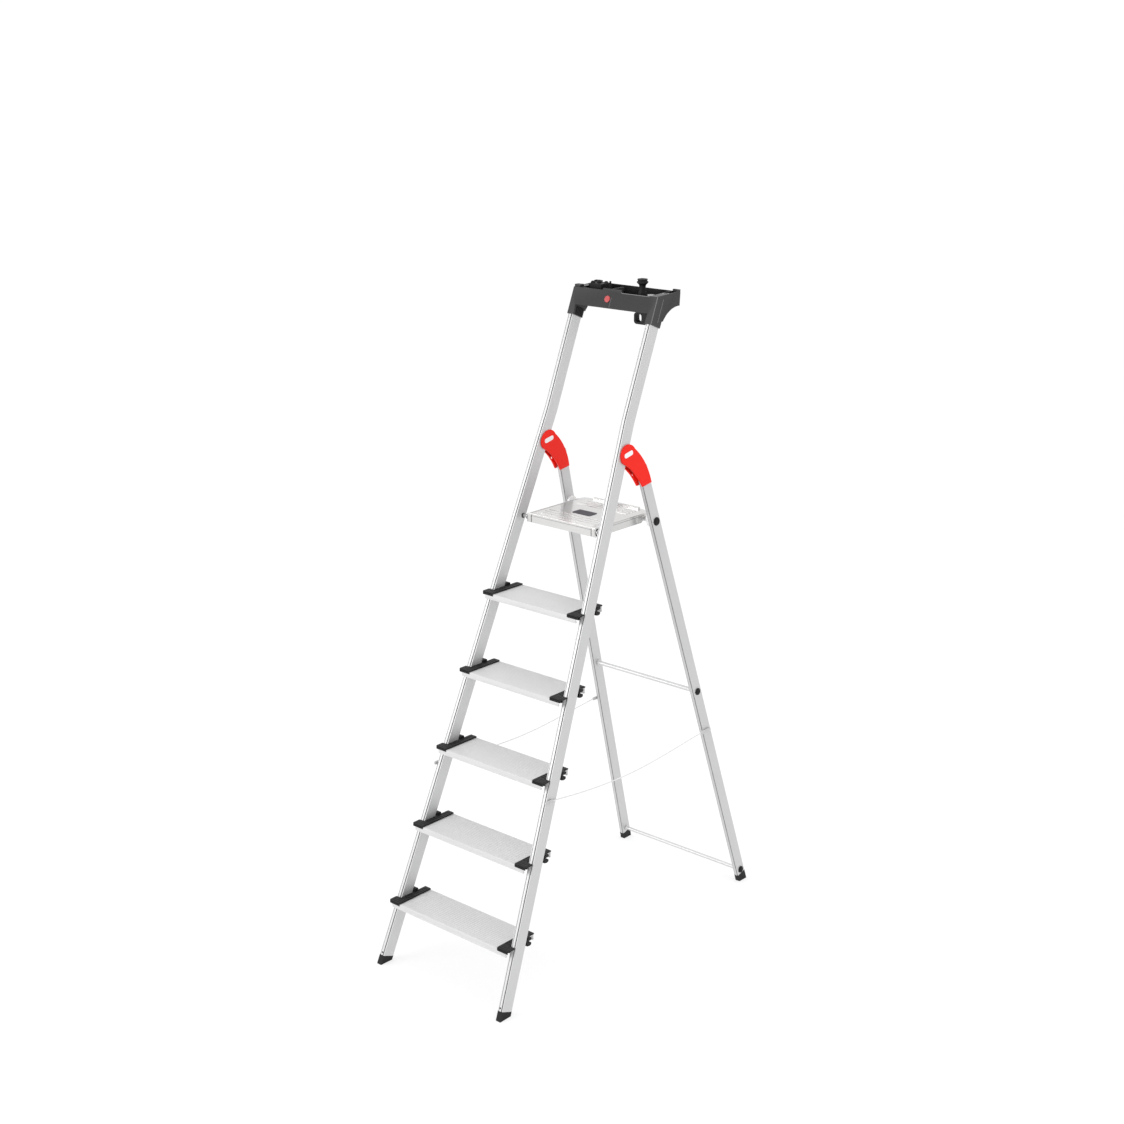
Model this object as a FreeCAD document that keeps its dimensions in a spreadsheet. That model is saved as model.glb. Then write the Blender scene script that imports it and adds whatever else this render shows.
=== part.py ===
import FreeCAD, Part
import os
from math import atan, cos, degrees, pi, radians, sin, tan

import Sketcher
from FreeCAD import Placement, Rotation, Vector

# ---------------------------------------------------------------------------
# Folding step ladder: five treads and a platform, a tool tray on top, a rear
# frame that folds on two red hinges. Millimetres, +Z up, -Y is the climbing
# side. The origin is the middle of the footprint, on the floor.
# ---------------------------------------------------------------------------

SHEET_CELLS = [
    # whole ladder
    ("lean_front", "22.05", "rails, degrees from upright"),
    ("lean_rear", "16.9", "rear legs, degrees from upright"),
    ("spread", "1085", "rail front to leg front, on the floor"),
    ("half_depth", "559.7", "rail front on the floor to the origin"),
    ("half_top", "147", "centre to outer rail face above the bend"),
    ("half_floor", "238.8", "centre to outer rail face on the floor"),
    ("bend_height", "1521", "where the rails turn parallel"),
    ("bend_radius", "600", "centre line radius of the bend"),
    ("fold_angle", "38.95", "travel of the rear frame, degrees"),
    # rails and legs
    ("rail_width", "17.2", ""),
    ("rail_depth", "38.3", ""),
    ("rail_length", "1963", "floor line to the top end, along the rail"),
    ("leg_width", "15.2", ""),
    ("leg_depth", "33", ""),
    ("leg_length", "1440", "floor line to the top end, along the leg"),
    ("skin", "1.6", "wall of the extrusions"),
    ("groove_depth", "1.4", "groove beside each nose"),
    ("nose", "1.1", "how far the nose stands proud"),
    ("front_foot_height", "28", "visible part of a front foot"),
    ("rear_foot_height", "22", "visible part of a rear foot"),
    # treads
    ("tread_count", "5", ""),
    ("first_tread", "183.4", "top of the lowest tread"),
    ("pitch", "210", "tread to tread"),
    ("tread_front", "29", "tread nose in front of the rail"),
    ("tread_back", "94", "tread rear behind the rail front"),
    ("tread_plate", "2.4", ""),
    ("tread_lip", "17", ""),
    ("rib_pitch", "7.5", "anti-slip ribs across the tread"),
    ("cap_reach", "42", "end cap, from the outer rail face inwards"),
    ("cap_plate", "2.6", ""),
    ("cap_gap", "1.3", "end cap to the inner rail face"),
    ("tread_gap", "3.8", "tread body to the inner rail face"),
    ("nose_inset", "10.2", "outer rail face to the end of a tread's nose"),
    ("lobe_radius", "5.8", "rounded ends of the clamp behind the rail"),
    # hinge
    ("pivot_height", "1425", ""),
    ("pivot_setback", "26", "behind the rail front, level"),
    ("hinge_width", "26.4", ""),
    ("hinge_cheek", "2.6", ""),
    ("hinge_bolt", "8", ""),
    ("run_gap", "0.06", "radial play of the turning joints"),
    ("hinge_channel", "12", "depth of the channel in the lower front"),
    # platform
    ("deck_width", "251", ""),
    ("deck_depth", "246", ""),
    ("deck_skirt", "24", ""),
    ("deck_plate", "3", ""),
    ("deck_setback", "17", "front edge behind the rail front, level"),
    ("deck_pin", "10", ""),
    ("deck_pin_drop", "11.5", "pin below the top of the deck"),
    # rods between the rear legs
    ("deck_rod", "12", ""),
    ("deck_rod_height", "1217", ""),
    ("upper_brace", "13", ""),
    ("upper_brace_height", "671.5", ""),
    ("lower_brace", "11.5", ""),
    ("lower_brace_height", "38", ""),
    # tray
    ("socket_start", "1907", "lower end of the sockets, along the rail"),
    ("socket_wall", "2.4", ""),
    ("socket_play", "0.15", "rail to the inside of its socket"),
    ("tray_top", "1840", ""),
    ("tray_floor", "1801", ""),
    ("tray_depth", "92", ""),
    ("tray_wall", "3", ""),
    ("tray_under", "7", "floor of the tray to its underside"),
    ("scoop_radius", "85", "hollow under the rear of the arms"),
    # straps
    ("strap_size", "3.2", "diameter of the spreader cords"),
    ("clip_gap", "0.3", "end of a cord to its clip"),
]

os.makedirs("parts", exist_ok=True)
doc = FreeCAD.newDocument("StepLadder")
sheet = doc.addObject("Spreadsheet::Sheet", "Sheet")
for row, (alias, text, note) in enumerate(SHEET_CELLS, start=1):
    sheet.set("A%d" % row, text)
    sheet.setAlias("A%d" % row, alias)
    sheet.set("B%d" % row, note)
doc.recompute()


class Size:
    """A number together with the expression that ties it to the sheet."""

    def __init__(self, value, text):
        """Keep the number and its expression."""
        self.value = value
        self.text = text

    def _join(self, sign, other, value):
        """Combine with another size, a cell's alias or a number."""
        other = size(other)
        return Size(value(self.value, other.value), "(%s %s %s)" % (self.text, sign, other.text))

    def __add__(self, other):
        """Sum."""
        return self._join("+", other, lambda a, b: a + b)

    def __sub__(self, other):
        """Difference."""
        return self._join("-", other, lambda a, b: a - b)

    def __mul__(self, other):
        """Product."""
        return self._join("*", other, lambda a, b: a * b)

    def __truediv__(self, other):
        """Quotient."""
        return self._join("/", other, lambda a, b: a / b)

    def __radd__(self, other):
        """Sum, reflected."""
        return size(other) + self

    def __rsub__(self, other):
        """Difference, reflected."""
        return size(other) - self

    def __rmul__(self, other):
        """Product, reflected."""
        return size(other) * self

    def __neg__(self):
        """Opposite."""
        return self * -1


def size(thing):
    """A Size from an alias, a plain number or a Size."""
    if isinstance(thing, Size):
        return thing
    if isinstance(thing, str):
        return Size(float(sheet.get(thing)), "Sheet." + thing)
    return Size(float(thing), "%.4f" % thing)


def num(thing):
    """The number of an alias, a plain number or a Size."""
    return size(thing).value


def bind(obj, prop, thing):
    """Set a property from a Size and keep it tied to the sheet."""
    thing = size(thing)
    if thing.text.startswith(("Sheet", "(")):
        obj.setExpression(prop, thing.text)
    else:
        setattr(obj, prop, thing.value)


# ---------------------------------------------------------------------------
# Frames: where the leaning, splayed members stand
# ---------------------------------------------------------------------------

LEAN_FRONT = radians(num("lean_front"))
LEAN_REAR = radians(num("lean_rear"))
SPLAY = (num("half_floor") - num("half_top")) / num("bend_height")
SIDES = (("left", -1), ("right", 1))


def outer_x(height):
    """Centre to outer rail face at a height."""
    return num("half_top") + max(0.0, num("bend_height") - height) * SPLAY


def centre_x(height):
    """Centre plane of a rail, and of the leg behind it, at a height."""
    return outer_x(height) - num("rail_width") / 2


def rail_y(height):
    """Front plane of the rails at a height."""
    return height * tan(LEAN_FRONT) - num("half_depth")


def leg_y(height):
    """Front plane of the rear legs at a height."""
    return num("spread") - num("half_depth") - height * tan(LEAN_REAR)


def leg_middle_y(height):
    """Centre plane of the rear legs at a height."""
    return leg_y(height) + num("leg_depth") / 2 / cos(LEAN_REAR)


def member(side, lean, y_floor):
    """Frame of a splayed member: +Z runs up along it, +Y to the rear.

    The origin is on the floor, on the member's centre plane and front face.
    """
    splay = degrees(atan(SPLAY * cos(lean)))
    base = Placement(Vector(0, y_floor, 0), Rotation(Vector(1, 0, 0), -degrees(lean)))
    x = num("half_floor") - num("rail_width") / 2
    return base * Placement(Vector(side * x, 0, 0), Rotation(Vector(0, 1, 0), -side * splay))


def rail_frame(side):
    """Frame of the splayed part of one rail."""
    return member(side, LEAN_FRONT, -num("half_depth"))


def leg_frame(side):
    """Frame of one rear leg."""
    return member(side, -LEAN_REAR, num("spread") - num("half_depth"))


FRONT = Placement(Vector(0, -num("half_depth"), 0), Rotation(Vector(1, 0, 0), -num("lean_front")))
TURN_X = Rotation(Vector(0, 1, 0), 90)
PIVOT = Vector(0, rail_y(num("pivot_height")) + num("pivot_setback"), num("pivot_height"))

# ---------------------------------------------------------------------------
# Building blocks
# ---------------------------------------------------------------------------

nodes = []


def node(obj, label):
    """Mark an object as a finished sub-part."""
    obj.Label = label
    nodes.append(obj)
    return obj


def box(x_size, y_size, z_size, corner, frame=None):
    """A block with its lowest corner at corner, in a frame."""
    solid = doc.addObject("Part::Box", "Block")
    bind(solid, "Length", x_size)
    bind(solid, "Width", y_size)
    bind(solid, "Height", z_size)
    place = Placement(Vector(*[num(c) for c in corner]), Rotation())
    solid.Placement = frame * place if frame else place
    return solid


def cylinder(radius, height, base, turn=None, frame=None):
    """A cylinder that starts at base and runs along +Z of turn."""
    solid = doc.addObject("Part::Cylinder", "Round")
    bind(solid, "Radius", radius)
    bind(solid, "Height", height)
    place = Placement(Vector(*[num(c) for c in base]), turn or Rotation())
    solid.Placement = frame * place if frame else place
    return solid


def cone(low_radius, high_radius, height, base, turn=None, frame=None):
    """A tapered round that starts at base and runs along +Z of turn."""
    solid = doc.addObject("Part::Cone", "Taper")
    bind(solid, "Radius1", low_radius)
    bind(solid, "Radius2", high_radius)
    bind(solid, "Height", height)
    place = Placement(Vector(*[num(c) for c in base]), turn or Rotation())
    solid.Placement = frame * place if frame else place
    return solid


def fuse(*solids):
    """Join solids into one."""
    joined = doc.addObject("Part::MultiFuse", "Joined")
    joined.Shapes = list(solids)
    joined.Refine = True
    return joined


def cut(base, *tools):
    """Cut every tool from a base solid."""
    for tool in tools:
        piece = doc.addObject("Part::Cut", "Trimmed")
        piece.Base = base
        piece.Tool = tool
        base = piece
    return base


def group(*solids):
    """Separate solids kept together as one sub-part."""
    bundle = doc.addObject("Part::Compound", "Group")
    bundle.Links = list(solids)
    return bundle


def plane_of(body, role):
    """One of a body's own origin planes."""
    return next(f for f in body.Origin.OriginFeatures if f.Role == role)


def outline(body, role, corners, offset=None):
    """A closed sketch through the corners, every corner tied to the sheet.

    A corner is (across, up), each a number, an alias or a Size.
    """
    sketch = body.newObject("Sketcher::SketchObject", "Outline")
    sketch.AttachmentSupport = [(plane_of(body, role), "")]
    sketch.MapMode = "FlatFace"
    if offset:
        sketch.AttachmentOffset = offset
    points = [Vector(num(a), num(b), 0) for a, b in corners]
    count = len(points)
    for k in range(count):
        sketch.addGeometry(Part.LineSegment(points[k], points[(k + 1) % count]), False)
    for k in range(count):
        sketch.addConstraint(Sketcher.Constraint("Coincident", k, 2, (k + 1) % count, 1))
    for k, (a, b) in enumerate(corners):
        for kind, thing in (("DistanceX", size(a)), ("DistanceY", size(b))):
            index = sketch.addConstraint(Sketcher.Constraint(kind, -1, 1, k, 1, thing.value))
            if thing.text.startswith(("Sheet", "(")):
                sketch.setExpression("Constraints[%d]" % index, thing.text)
    doc.recompute()
    return sketch


def prism(role, corners, length, place, midway=False):
    """A PartDesign body: an outline padded by a length."""
    body = doc.addObject("PartDesign::Body", "Body")
    sketch = outline(body, role, corners)
    pad = body.newObject("PartDesign::Pad", "Pad")
    pad.Profile = sketch
    bind(pad, "Length", length)
    pad.Midplane = midway
    body.Placement = place
    return body


def round_edges(solid, radius, chosen):
    """Round the edges of a solid that pass a test."""
    doc.recompute()
    rounded = doc.addObject("Part::Fillet", "Rounded")
    rounded.Base = solid
    numbers = [k + 1 for k, edge in enumerate(solid.Shape.Edges) if chosen(edge)]
    rounded.Edges = [(k, radius, radius) for k in numbers]
    return rounded


def along(axis, low=0.0):
    """A test for straight edges that run along an axis and are long enough."""
    def test(edge):
        """True for straight edges along the axis that lie high enough."""
        if len(edge.Vertexes) != 2 or not isinstance(edge.Curve, Part.Line):
            return False
        run = edge.Vertexes[1].Point - edge.Vertexes[0].Point
        return abs(abs(run.dot(axis)) - run.Length) < 1e-4 * run.Length and run.Length > low
    return test


# ---------------------------------------------------------------------------
# Extrusions: rails and rear legs
# ---------------------------------------------------------------------------


def extrusion_outline(width, depth):
    """Section with a proud nose between two grooves, front and rear."""
    half = size(width) / 2
    depth = size(depth)
    nose, groove = size("nose"), size("groove_depth")
    front = [(half * -1, 1), (half * -1 + 1, 0), (half * -1 + 3.4, 0), (half * -1 + 3.6, groove),
             (half * -1 + 4.5, groove), (half * -1 + 4.7, 0), (half * -1 + 6, nose * -1)]
    front += [(across * -1, up) for across, up in reversed(front)]
    return front + [(across * -1, depth - up) for across, up in front]


def inner_outline(width, depth):
    """The hollow of the section."""
    half = size(width) / 2 - size("skin")
    low, high = size("groove_depth") + size("skin"), size(depth) - size("groove_depth") - size("skin")
    return [(half * -1, low), (half, low), (half, high), (half * -1, high)]


def cross_bore(rod, play, side, spot):
    """A tool that bores a rail, leg or foot crosswise for a rod, pin or bolt."""
    reach = 30
    start = (side * centre_x(spot.z) - reach, spot.y, spot.z)
    return cylinder(size(rod) / 2 + play, 2 * reach, start, TURN_X)


def make_rail(name, side):
    """Hollow rail: splayed below, a bend, then upright in front view."""
    body = doc.addObject("PartDesign::Body", "Body")
    splay = atan(SPLAY * cos(LEAN_FRONT))
    start = num("front_foot_height")
    bend = num("bend_height") / cos(LEAN_FRONT) / cos(splay)
    top = num("rail_length")
    radius = num("bend_radius")
    reach = radius * tan(splay / 2)

    path = body.newObject("Sketcher::SketchObject", "Path")
    path.AttachmentSupport = [(plane_of(body, "XZ_Plane"), "")]
    path.MapMode = "FlatFace"
    turn = Vector(side * sin(splay), cos(splay), 0)
    first, corner = Vector(0, start, 0), Vector(0, bend, 0)
    arc_start, arc_end = corner - Vector(0, reach, 0), corner + turn * reach
    centre = arc_start + Vector(side * radius, 0, 0)
    middle = centre + (corner - centre).normalize() * radius
    path.addGeometry(Part.LineSegment(first, arc_start), False)
    path.addGeometry(Part.Arc(arc_start, middle, arc_end), False)
    path.addGeometry(Part.LineSegment(arc_end, corner + turn * (top - bend)), False)
    path.addConstraint(Sketcher.Constraint("Coincident", 0, 2, 1, 1 if side < 0 else 2))
    doc.recompute()

    level = Placement(Vector(0, 0, start), Rotation())
    pipe = body.newObject("PartDesign::AdditivePipe", "Pipe")
    pipe.Profile = outline(body, "XY_Plane", extrusion_outline("rail_width", "rail_depth"), level)
    pipe.Spine = path
    doc.recompute()
    hollow = body.newObject("PartDesign::SubtractivePipe", "Hollow")
    hollow.Profile = outline(body, "XY_Plane", inner_outline("rail_width", "rail_depth"), level)
    hollow.Spine = path
    doc.recompute()
    body.Placement = rail_frame(side)
    bores = [cross_bore("hinge_bolt", 0.05, side, PIVOT),
             cross_bore("deck_pin", 0.05, side, deck_pin_point())]
    return node(cut(body, *bores), "rail_" + name)


def make_leg(name, side):
    """Hollow rear leg with bores for its three rods."""
    frame = leg_frame(side)
    start = num("rear_foot_height")
    shell = prism("XY_Plane", extrusion_outline("leg_width", "leg_depth"), size("leg_length") - start,
                  frame * Placement(Vector(0, 0, start), Rotation()))
    hollow = prism("XY_Plane", inner_outline("leg_width", "leg_depth"), size("leg_length") + 10,
                   frame * Placement(Vector(0, 0, start - 5), Rotation()))
    heights = {rod: num(rod + "_height") for rod in ("deck_rod", "upper_brace", "lower_brace")}
    bores = [cross_bore(rod, 0.05, side, Vector(0, leg_middle_y(height), height))
             for rod, height in heights.items()]
    return node(cut(shell, hollow, *bores), "rear_leg_" + name)


def make_foot(kind, name, side):
    """Moulded foot: a block cut level with the floor and a tongue inside the member."""
    member_name, frame = ("rail", rail_frame(side)) if kind == "front" else ("leg", leg_frame(side))
    width, depth = size(member_name + "_width"), size(member_name + "_depth")
    height = size(kind + "_foot_height")
    buried, tongue_height, play = 40, 34, 0.3
    block = box(width - 0.2, depth + 1, height + buried, (-width.value / 2 + 0.1, -0.5, -buried), frame)
    tongue = box(width - size("skin") * 2 - 2 * play, depth - 7.2, tongue_height,
                 (-width.value / 2 + num("skin") + play, 3.6, height.value - 0.5), frame)
    floor = box(200, 200, 100, (frame.Base.x - 100, frame.Base.y - 100, -100))
    foot = cut(fuse(block, tongue), floor)
    if kind == "rear":
        height = num("lower_brace_height")
        foot = cut(foot, cross_bore("lower_brace", 0.1, side, Vector(0, leg_middle_y(height), height)))
    return node(foot, "%s_foot_%s" % (kind, name))


# ---------------------------------------------------------------------------
# Treads
# ---------------------------------------------------------------------------


def tread_height(number):
    """Top of a tread, counted from 1."""
    return num("first_tread") + (number - 1) * num("pitch")


def tread_outline():
    """Plate with ribs on top, lips front and rear, two webs below."""
    front, back = size("tread_front") * -1, size("tread_back")
    plate, lip, rib = size("tread_plate"), size("tread_lip"), size("rib_pitch")
    top = [(front + 1.5, 0)]
    for k in range(1, 16):
        start = front + 4 + rib * (k - 1)
        top += [(start, 0), (start + 0.6, 0.7), (start + 3.2, 0.7), (start + 3.8, 0)]
    below = [(back, 0), (back, lip * -1), (back - 4, lip * -1), (back - 4, lip * -1 + 2),
             (back - 2, lip * -1 + 2), (back - 2, plate * -1)]
    for place in (62, 24):
        below += [(place + 1, plate * -1), (place + 1, -9), (place - 1, -9), (place - 1, plate * -1)]
    below += [(front + 2.2, plate * -1), (front + 2.2, lip * -1 + 3), (front + 4.5, lip * -1 + 3),
              (front + 4.5, lip * -1), (front + 0.8, lip * -1), (front, lip * -1 + 1.5), (front, -1.5)]
    return top + below


def make_tread(number):
    """Aluminium tread: its nose spans both rails, the rest sits between them."""
    height = tread_height(number)
    half = outer_x(height) - num("nose_inset")
    y = rail_y(height)
    body = prism("YZ_Plane", tread_outline(), 2 * half, Placement(Vector(-half, y, height), Rotation()))
    inner = outer_x(height) - num("rail_width") - num("tread_gap")
    wide = 60
    notches = [box(wide, 160, 40, (x, y - 10, height - 30)) for x in (inner, -inner - wide)]
    return node(cut(body, *notches), "tread_%d" % number)


def make_tread_cap(number, name, side):
    """Black end cap: a cover over the tread end and a clamp behind the rail."""
    height = tread_height(number)
    outer, y = outer_x(height), rail_y(height)
    inner_rail = outer - num("rail_width") - num("cap_gap")
    reach, plate = size("cap_reach"), size("cap_plate")
    frame = Placement(Vector(0, y, height + 0.75), Rotation())

    def block(inner_x, outer_edge, y_low, y_high, z_low, z_high):
        """A block between two distances from the middle, on this cap's side."""
        width = num(outer_edge) - num(inner_x)
        low = num(inner_x) if side > 0 else -num(outer_edge)
        return box(width, num(y_high) - num(y_low), num(z_high) - num(z_low), (low, y_low, z_low), frame)

    front = size("tread_front") * -1 - 0.5
    cover = block(outer - num(reach), outer - 0.5, front, -2.4, 0, plate)
    strip = block(outer - num(reach), inner_rail, front, "tread_back", 0, plate)
    flange = block(inner_rail - 2, inner_rail, -9.4, "tread_back", -22, 0.5)
    clamp = block(inner_rail - 0.5, outer - 1, 46.5, 58, -12, 8)
    low_x = inner_rail - 0.5 if side > 0 else -(outer - 1)
    wide = outer - 1 - inner_rail + 0.5
    lobes = [cylinder("lobe_radius", wide, (low_x, lobe_y, lobe_z), TURN_X, frame)
             for lobe_y, lobe_z in ((59.5, 4), (58.5, -8.3))]
    return node(fuse(cover, strip, flange, clamp, *lobes), "tread_cap_%d_%s" % (number, name))


# ---------------------------------------------------------------------------
# Hinges and rear frame
# ---------------------------------------------------------------------------

# Side view of a hinge as arcs, (rearwards, up) from the pivot: start, middle, end.
HINGE_ARCS = [((-1, -25), (38, -55.5), (70, -98)), ((108, -92), (85, -36), (41, 14)),
              ((41, 14), (3, 27.5), (-18, 2)), ((-18, 2), (-14.5, -14), (-1, -25))]

FOLD_STEP = 3  # degrees between the cuts that clear a hinge of its rail


def hinge_side(inset=0.0):
    """Closed wire of the hinge's side view, in the YZ plane, set in by inset."""
    arcs = [Part.Arc(*[Vector(0, *spot) for spot in arc]).toShape() for arc in HINGE_ARCS]
    lower_end = Part.makeLine(Vector(0, *HINGE_ARCS[0][2]), Vector(0, *HINGE_ARCS[1][0]))
    wire = Part.Wire([arcs[0], lower_end] + arcs[1:])
    return wire.makeOffset2D(-inset, fill=False) if inset else wire


def slice_of(face, half):
    """A side-view face as a solid, half as wide each way."""
    solid = face.extrude(Vector(2 * half, 0, 0))
    solid.translate(Vector(-half, 0, 0))
    return solid


def member_room(frame, width, depth, low, high, play):
    """A block round a member between two lengths along it, with play on every side."""
    half, proud = num(width) / 2 + play, num("nose") + play
    block = Part.makeBox(2 * half, num(depth) + 2 * proud, high - low)
    block.Placement = frame * Placement(Vector(-half, -proud, low), Rotation())
    return block


def make_hinge(name, side):
    """Red hinge shell: two cheeks over the rail and a closed channel for the leg."""
    half = num("hinge_width") / 2
    gap = half - num("hinge_cheek")
    leg_gap = num("leg_width") / 2 + 0.1
    splay = Rotation(Vector(0, 1, 0), -side * degrees(atan(SPLAY)))
    here = Placement(Vector(side * centre_x(PIVOT.z), PIVOT.y, PIVOT.z), splay)

    view = Part.Face(hinge_side())
    inner_view = Part.Face(hinge_side(num("hinge_cheek")))
    setback = Vector(0, num("hinge_channel"), 0)
    shifted_view, shifted_inner = view.translated(setback), inner_view.translated(setback)

    shell = slice_of(view, half)
    head = Part.makeBox(2 * gap, 160, 150, Vector(-gap, -60, -60))
    shell = shell.cut(slice_of(inner_view, gap).common(head))
    low = Part.makeBox(2 * half, 200, 100, Vector(-half, -60, -122))
    shell = shell.cut(slice_of(view.cut(shifted_view), leg_gap).common(low))
    lean = Rotation(Vector(1, 0, 0), num("lean_rear"))
    front_of_leg = Part.makeBox(2 * leg_gap, 80, 120, Vector(-leg_gap, -45, -112))
    front_of_leg.Placement = Placement(Vector(0, leg_y(PIVOT.z) - PIVOT.y, 0), lean) * front_of_leg.Placement
    shell = shell.cut(front_of_leg.common(slice_of(inner_view.common(shifted_inner), leg_gap)))

    for face in (-1, 1):
        relief = Part.makeBox(8, 200, 70, Vector(0 if face > 0 else -8, -60, -120))
        tilt = Rotation(Vector(0, 1, 0), -face * 6)
        relief.Placement = Placement(Vector(face * (leg_gap + 2.4), 0, 0), tilt)
        shell = shell.cut(relief)
    window_at = Vector(0, 48, -62)
    window = Part.makeBox(12, 10, 5, Vector(-half - 2, window_at.y, window_at.z))
    window.rotate(window_at, Vector(1, 0, 0), -52)
    shell = shell.cut(window)

    shell.Placement = here
    leg_top, rail_at = num("leg_length"), num("pivot_height") / cos(LEAN_FRONT)
    leg = member_room(leg_frame(side), "leg_width", "leg_depth", leg_top - 150, leg_top + 1, 0.15)
    shell = shell.cut(leg)
    rail = member_room(rail_frame(side), "rail_width", "rail_depth", rail_at - 160, rail_at + 60, 0.6)
    for turn in range(0, int(num("fold_angle")) + FOLD_STEP, FOLD_STEP):
        passing = rail.copy()
        passing.rotate(PIVOT, Vector(1, 0, 0), min(turn, num("fold_angle")))
        shell = shell.cut(passing)
    solid = doc.addObject("Part::Feature", "Shell")
    solid.Shape = shell
    print("hinge", name, "solids", len(shell.Solids), "volume %.0f" % shell.Volume)
    return node(cut(solid, cross_bore("hinge_bolt", size("run_gap"), side, PIVOT)), "hinge_shell_" + name)


def make_hinge_bolt(name, side):
    """Bolt through both cheeks and the rail between them."""
    x = side * centre_x(PIVOT.z)
    reach = num("hinge_width") / 2 - 0.4
    shaft = cylinder(size("hinge_bolt") / 2, 2 * reach, (x - reach, PIVOT.y, PIVOT.z), TURN_X)
    return node(shaft, "hinge_bolt_" + name)


def make_hinge_plate(name, side):
    """Plain light plate on the outward and inward faces of the hinge head."""
    splay = Rotation(Vector(0, 1, 0), -side * degrees(atan(SPLAY)))
    here = Placement(Vector(side * centre_x(PIVOT.z), PIVOT.y, PIVOT.z), splay)
    plates = []
    for face in (-1, 1):
        start = num("hinge_width") / 2 if face > 0 else -num("hinge_width") / 2 - 1.2
        tilt = Placement(Vector(start, 13, 0), Rotation(Vector(1, 0, 0), 12))
        body = box(1.2, 34, 12, (0, -17, -6), here * tilt)
        plates.append(round_edges(body, 5.5, along((here * tilt).Rotation.multVec(Vector(1, 0, 0)))))
    return node(group(*plates), "hinge_plate_" + name)


def make_rod(rod, label):
    """Round rod through both rear legs."""
    height = num(rod + "_height")
    reach = centre_x(height) + num("leg_width") / 2 - 1
    return node(cylinder(size(rod) / 2, 2 * reach, (-reach, leg_middle_y(height), height), TURN_X), label)


def make_rod_caps(rod, label, radius):
    """Domed black caps that cover the rod ends on the outer leg faces."""
    caps = []
    height = num(rod + "_height")
    along_leg = height / cos(LEAN_REAR) / cos(atan(SPLAY * cos(LEAN_REAR)))
    for _, side in SIDES:
        frame = leg_frame(side)
        turn = Rotation(Vector(0, 1, 0), 90 * side)
        x = side * num("leg_width") / 2
        rise = num("leg_depth") / 2 * tan(LEAN_REAR)
        base = (x, num("leg_depth") / 2, along_leg - rise)
        caps.append(fuse(cylinder(radius, 2.6, base, turn, frame),
                         cone(radius, radius - 3, 2.4, (x + side * 2.6, base[1], base[2]), turn, frame)))
    return node(group(*caps), label)


# ---------------------------------------------------------------------------
# Platform
# ---------------------------------------------------------------------------


def deck_top():
    """Top of the platform."""
    return tread_height(num("tread_count") + 1)


def deck_pin_point():
    """Where the pins of the platform cross the middle of the ladder."""
    height = deck_top() - num("deck_pin_drop")
    return Vector(0, rail_y(deck_top()) + num("deck_setback") + 9, height)


def make_deck():
    """Pressed deck: a plate with a deep skirt, open below, notched for the rod."""
    half, depth = size("deck_width") / 2, size("deck_depth")
    skirt, plate = size("deck_skirt"), size("deck_plate")
    y0, top = rail_y(deck_top()) + num("deck_setback"), deck_top()
    corner = 32
    plan = [(half * -1, 0), (half, 0), (half, depth - corner), (half - corner / 4, depth - corner / 4),
            (half - corner, depth), (half * -1 + corner, depth), (half * -1 + corner / 4, depth - corner / 4),
            (half * -1, depth - corner)]
    inset = 2.2
    room = [(half * -1 + inset, inset), (half - inset, inset), (half - inset, depth - corner - 1),
            (half - corner / 4 - 2, depth - corner / 4 - 2), (half - corner - 1, depth - inset),
            (half * -1 + corner + 1, depth - inset), (half * -1 + corner / 4 + 2, depth - corner / 4 - 2),
            (half * -1 + inset, depth - corner - 1)]
    outside = prism("XY_Plane", plan, skirt, Placement(Vector(0, y0, top - num(skirt)), Rotation()))
    inside = prism("XY_Plane", room, skirt - plate, Placement(Vector(0, y0, top - num(skirt)), Rotation()))
    shell = cut(outside, inside)

    rod_y, rod_z = leg_middle_y(num("deck_rod_height")), num("deck_rod_height")
    low = top - num(skirt) - 1
    gap = num("deck_rod") / 2 + 1.2
    notch = [(rod_y - gap, rod_z + 1), (rod_y - gap * 0.7, rod_z + gap), (rod_y + gap * 0.7, rod_z + gap),
             (rod_y + gap, rod_z + 1), (rod_y + gap, low), (rod_y - gap - 11, low)]
    slot = prism("YZ_Plane", notch, 300, Placement(Vector(-150, 0, 0), Rotation()))
    pin = deck_pin_point()
    bore = cylinder(size("deck_pin") / 2 + size("run_gap"), 300, (-150, pin.y, pin.z), TURN_X)
    bosses = [cylinder(9, 16, (side * (num(half) - 9.2) - 8, pin.y, pin.z), TURN_X) for _, side in SIDES]
    ribs = [box(size("deck_width") - 44, 12, 1.2, (-num(half) + 22, y0 + 18 + 17 * k, top - 0.2))
            for k in range(4)]
    rear_ribs = [box(size("deck_width") - 70, 8, 1.2, (-num(half) + 35, y0 + 172 + 13 * k, top - 0.2))
                 for k in range(4)]
    grip = box(size("deck_width") - 84, 9, 5.5, (-num(half) + 42, y0 + num(depth) - 11, top - 0.2))
    return node(cut(fuse(shell, *bosses, *ribs, *rear_ribs, grip), slot, bore), "platform_deck")


def make_deck_label():
    """Plain dark plate let into the middle of the deck."""
    y0 = rail_y(deck_top()) + num("deck_setback")
    body = box(64, 34, 1.4, (-38, y0 + 91, deck_top()))
    return node(round_edges(body, 3, along(Vector(0, 0, 1))), "platform_label")


def make_deck_pin(name, side):
    """Steel pin from the rail into the deck, with a collar on the rail."""
    pin = deck_pin_point()
    inner = centre_x(pin.z) - num("rail_width") / 2
    start = num("deck_width") / 2 - 16
    end = centre_x(pin.z) + num("rail_width") / 2 - 0.8
    shaft = cylinder(size("deck_pin") / 2, end - start, (side * start, pin.y, pin.z),
                     Rotation(Vector(0, 1, 0), 90 * side))
    collar = cylinder(8, 3, (side * (inner - 4.2), pin.y, pin.z), Rotation(Vector(0, 1, 0), 90 * side))
    return node(fuse(shaft, collar), "platform_pin_" + name)


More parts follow.
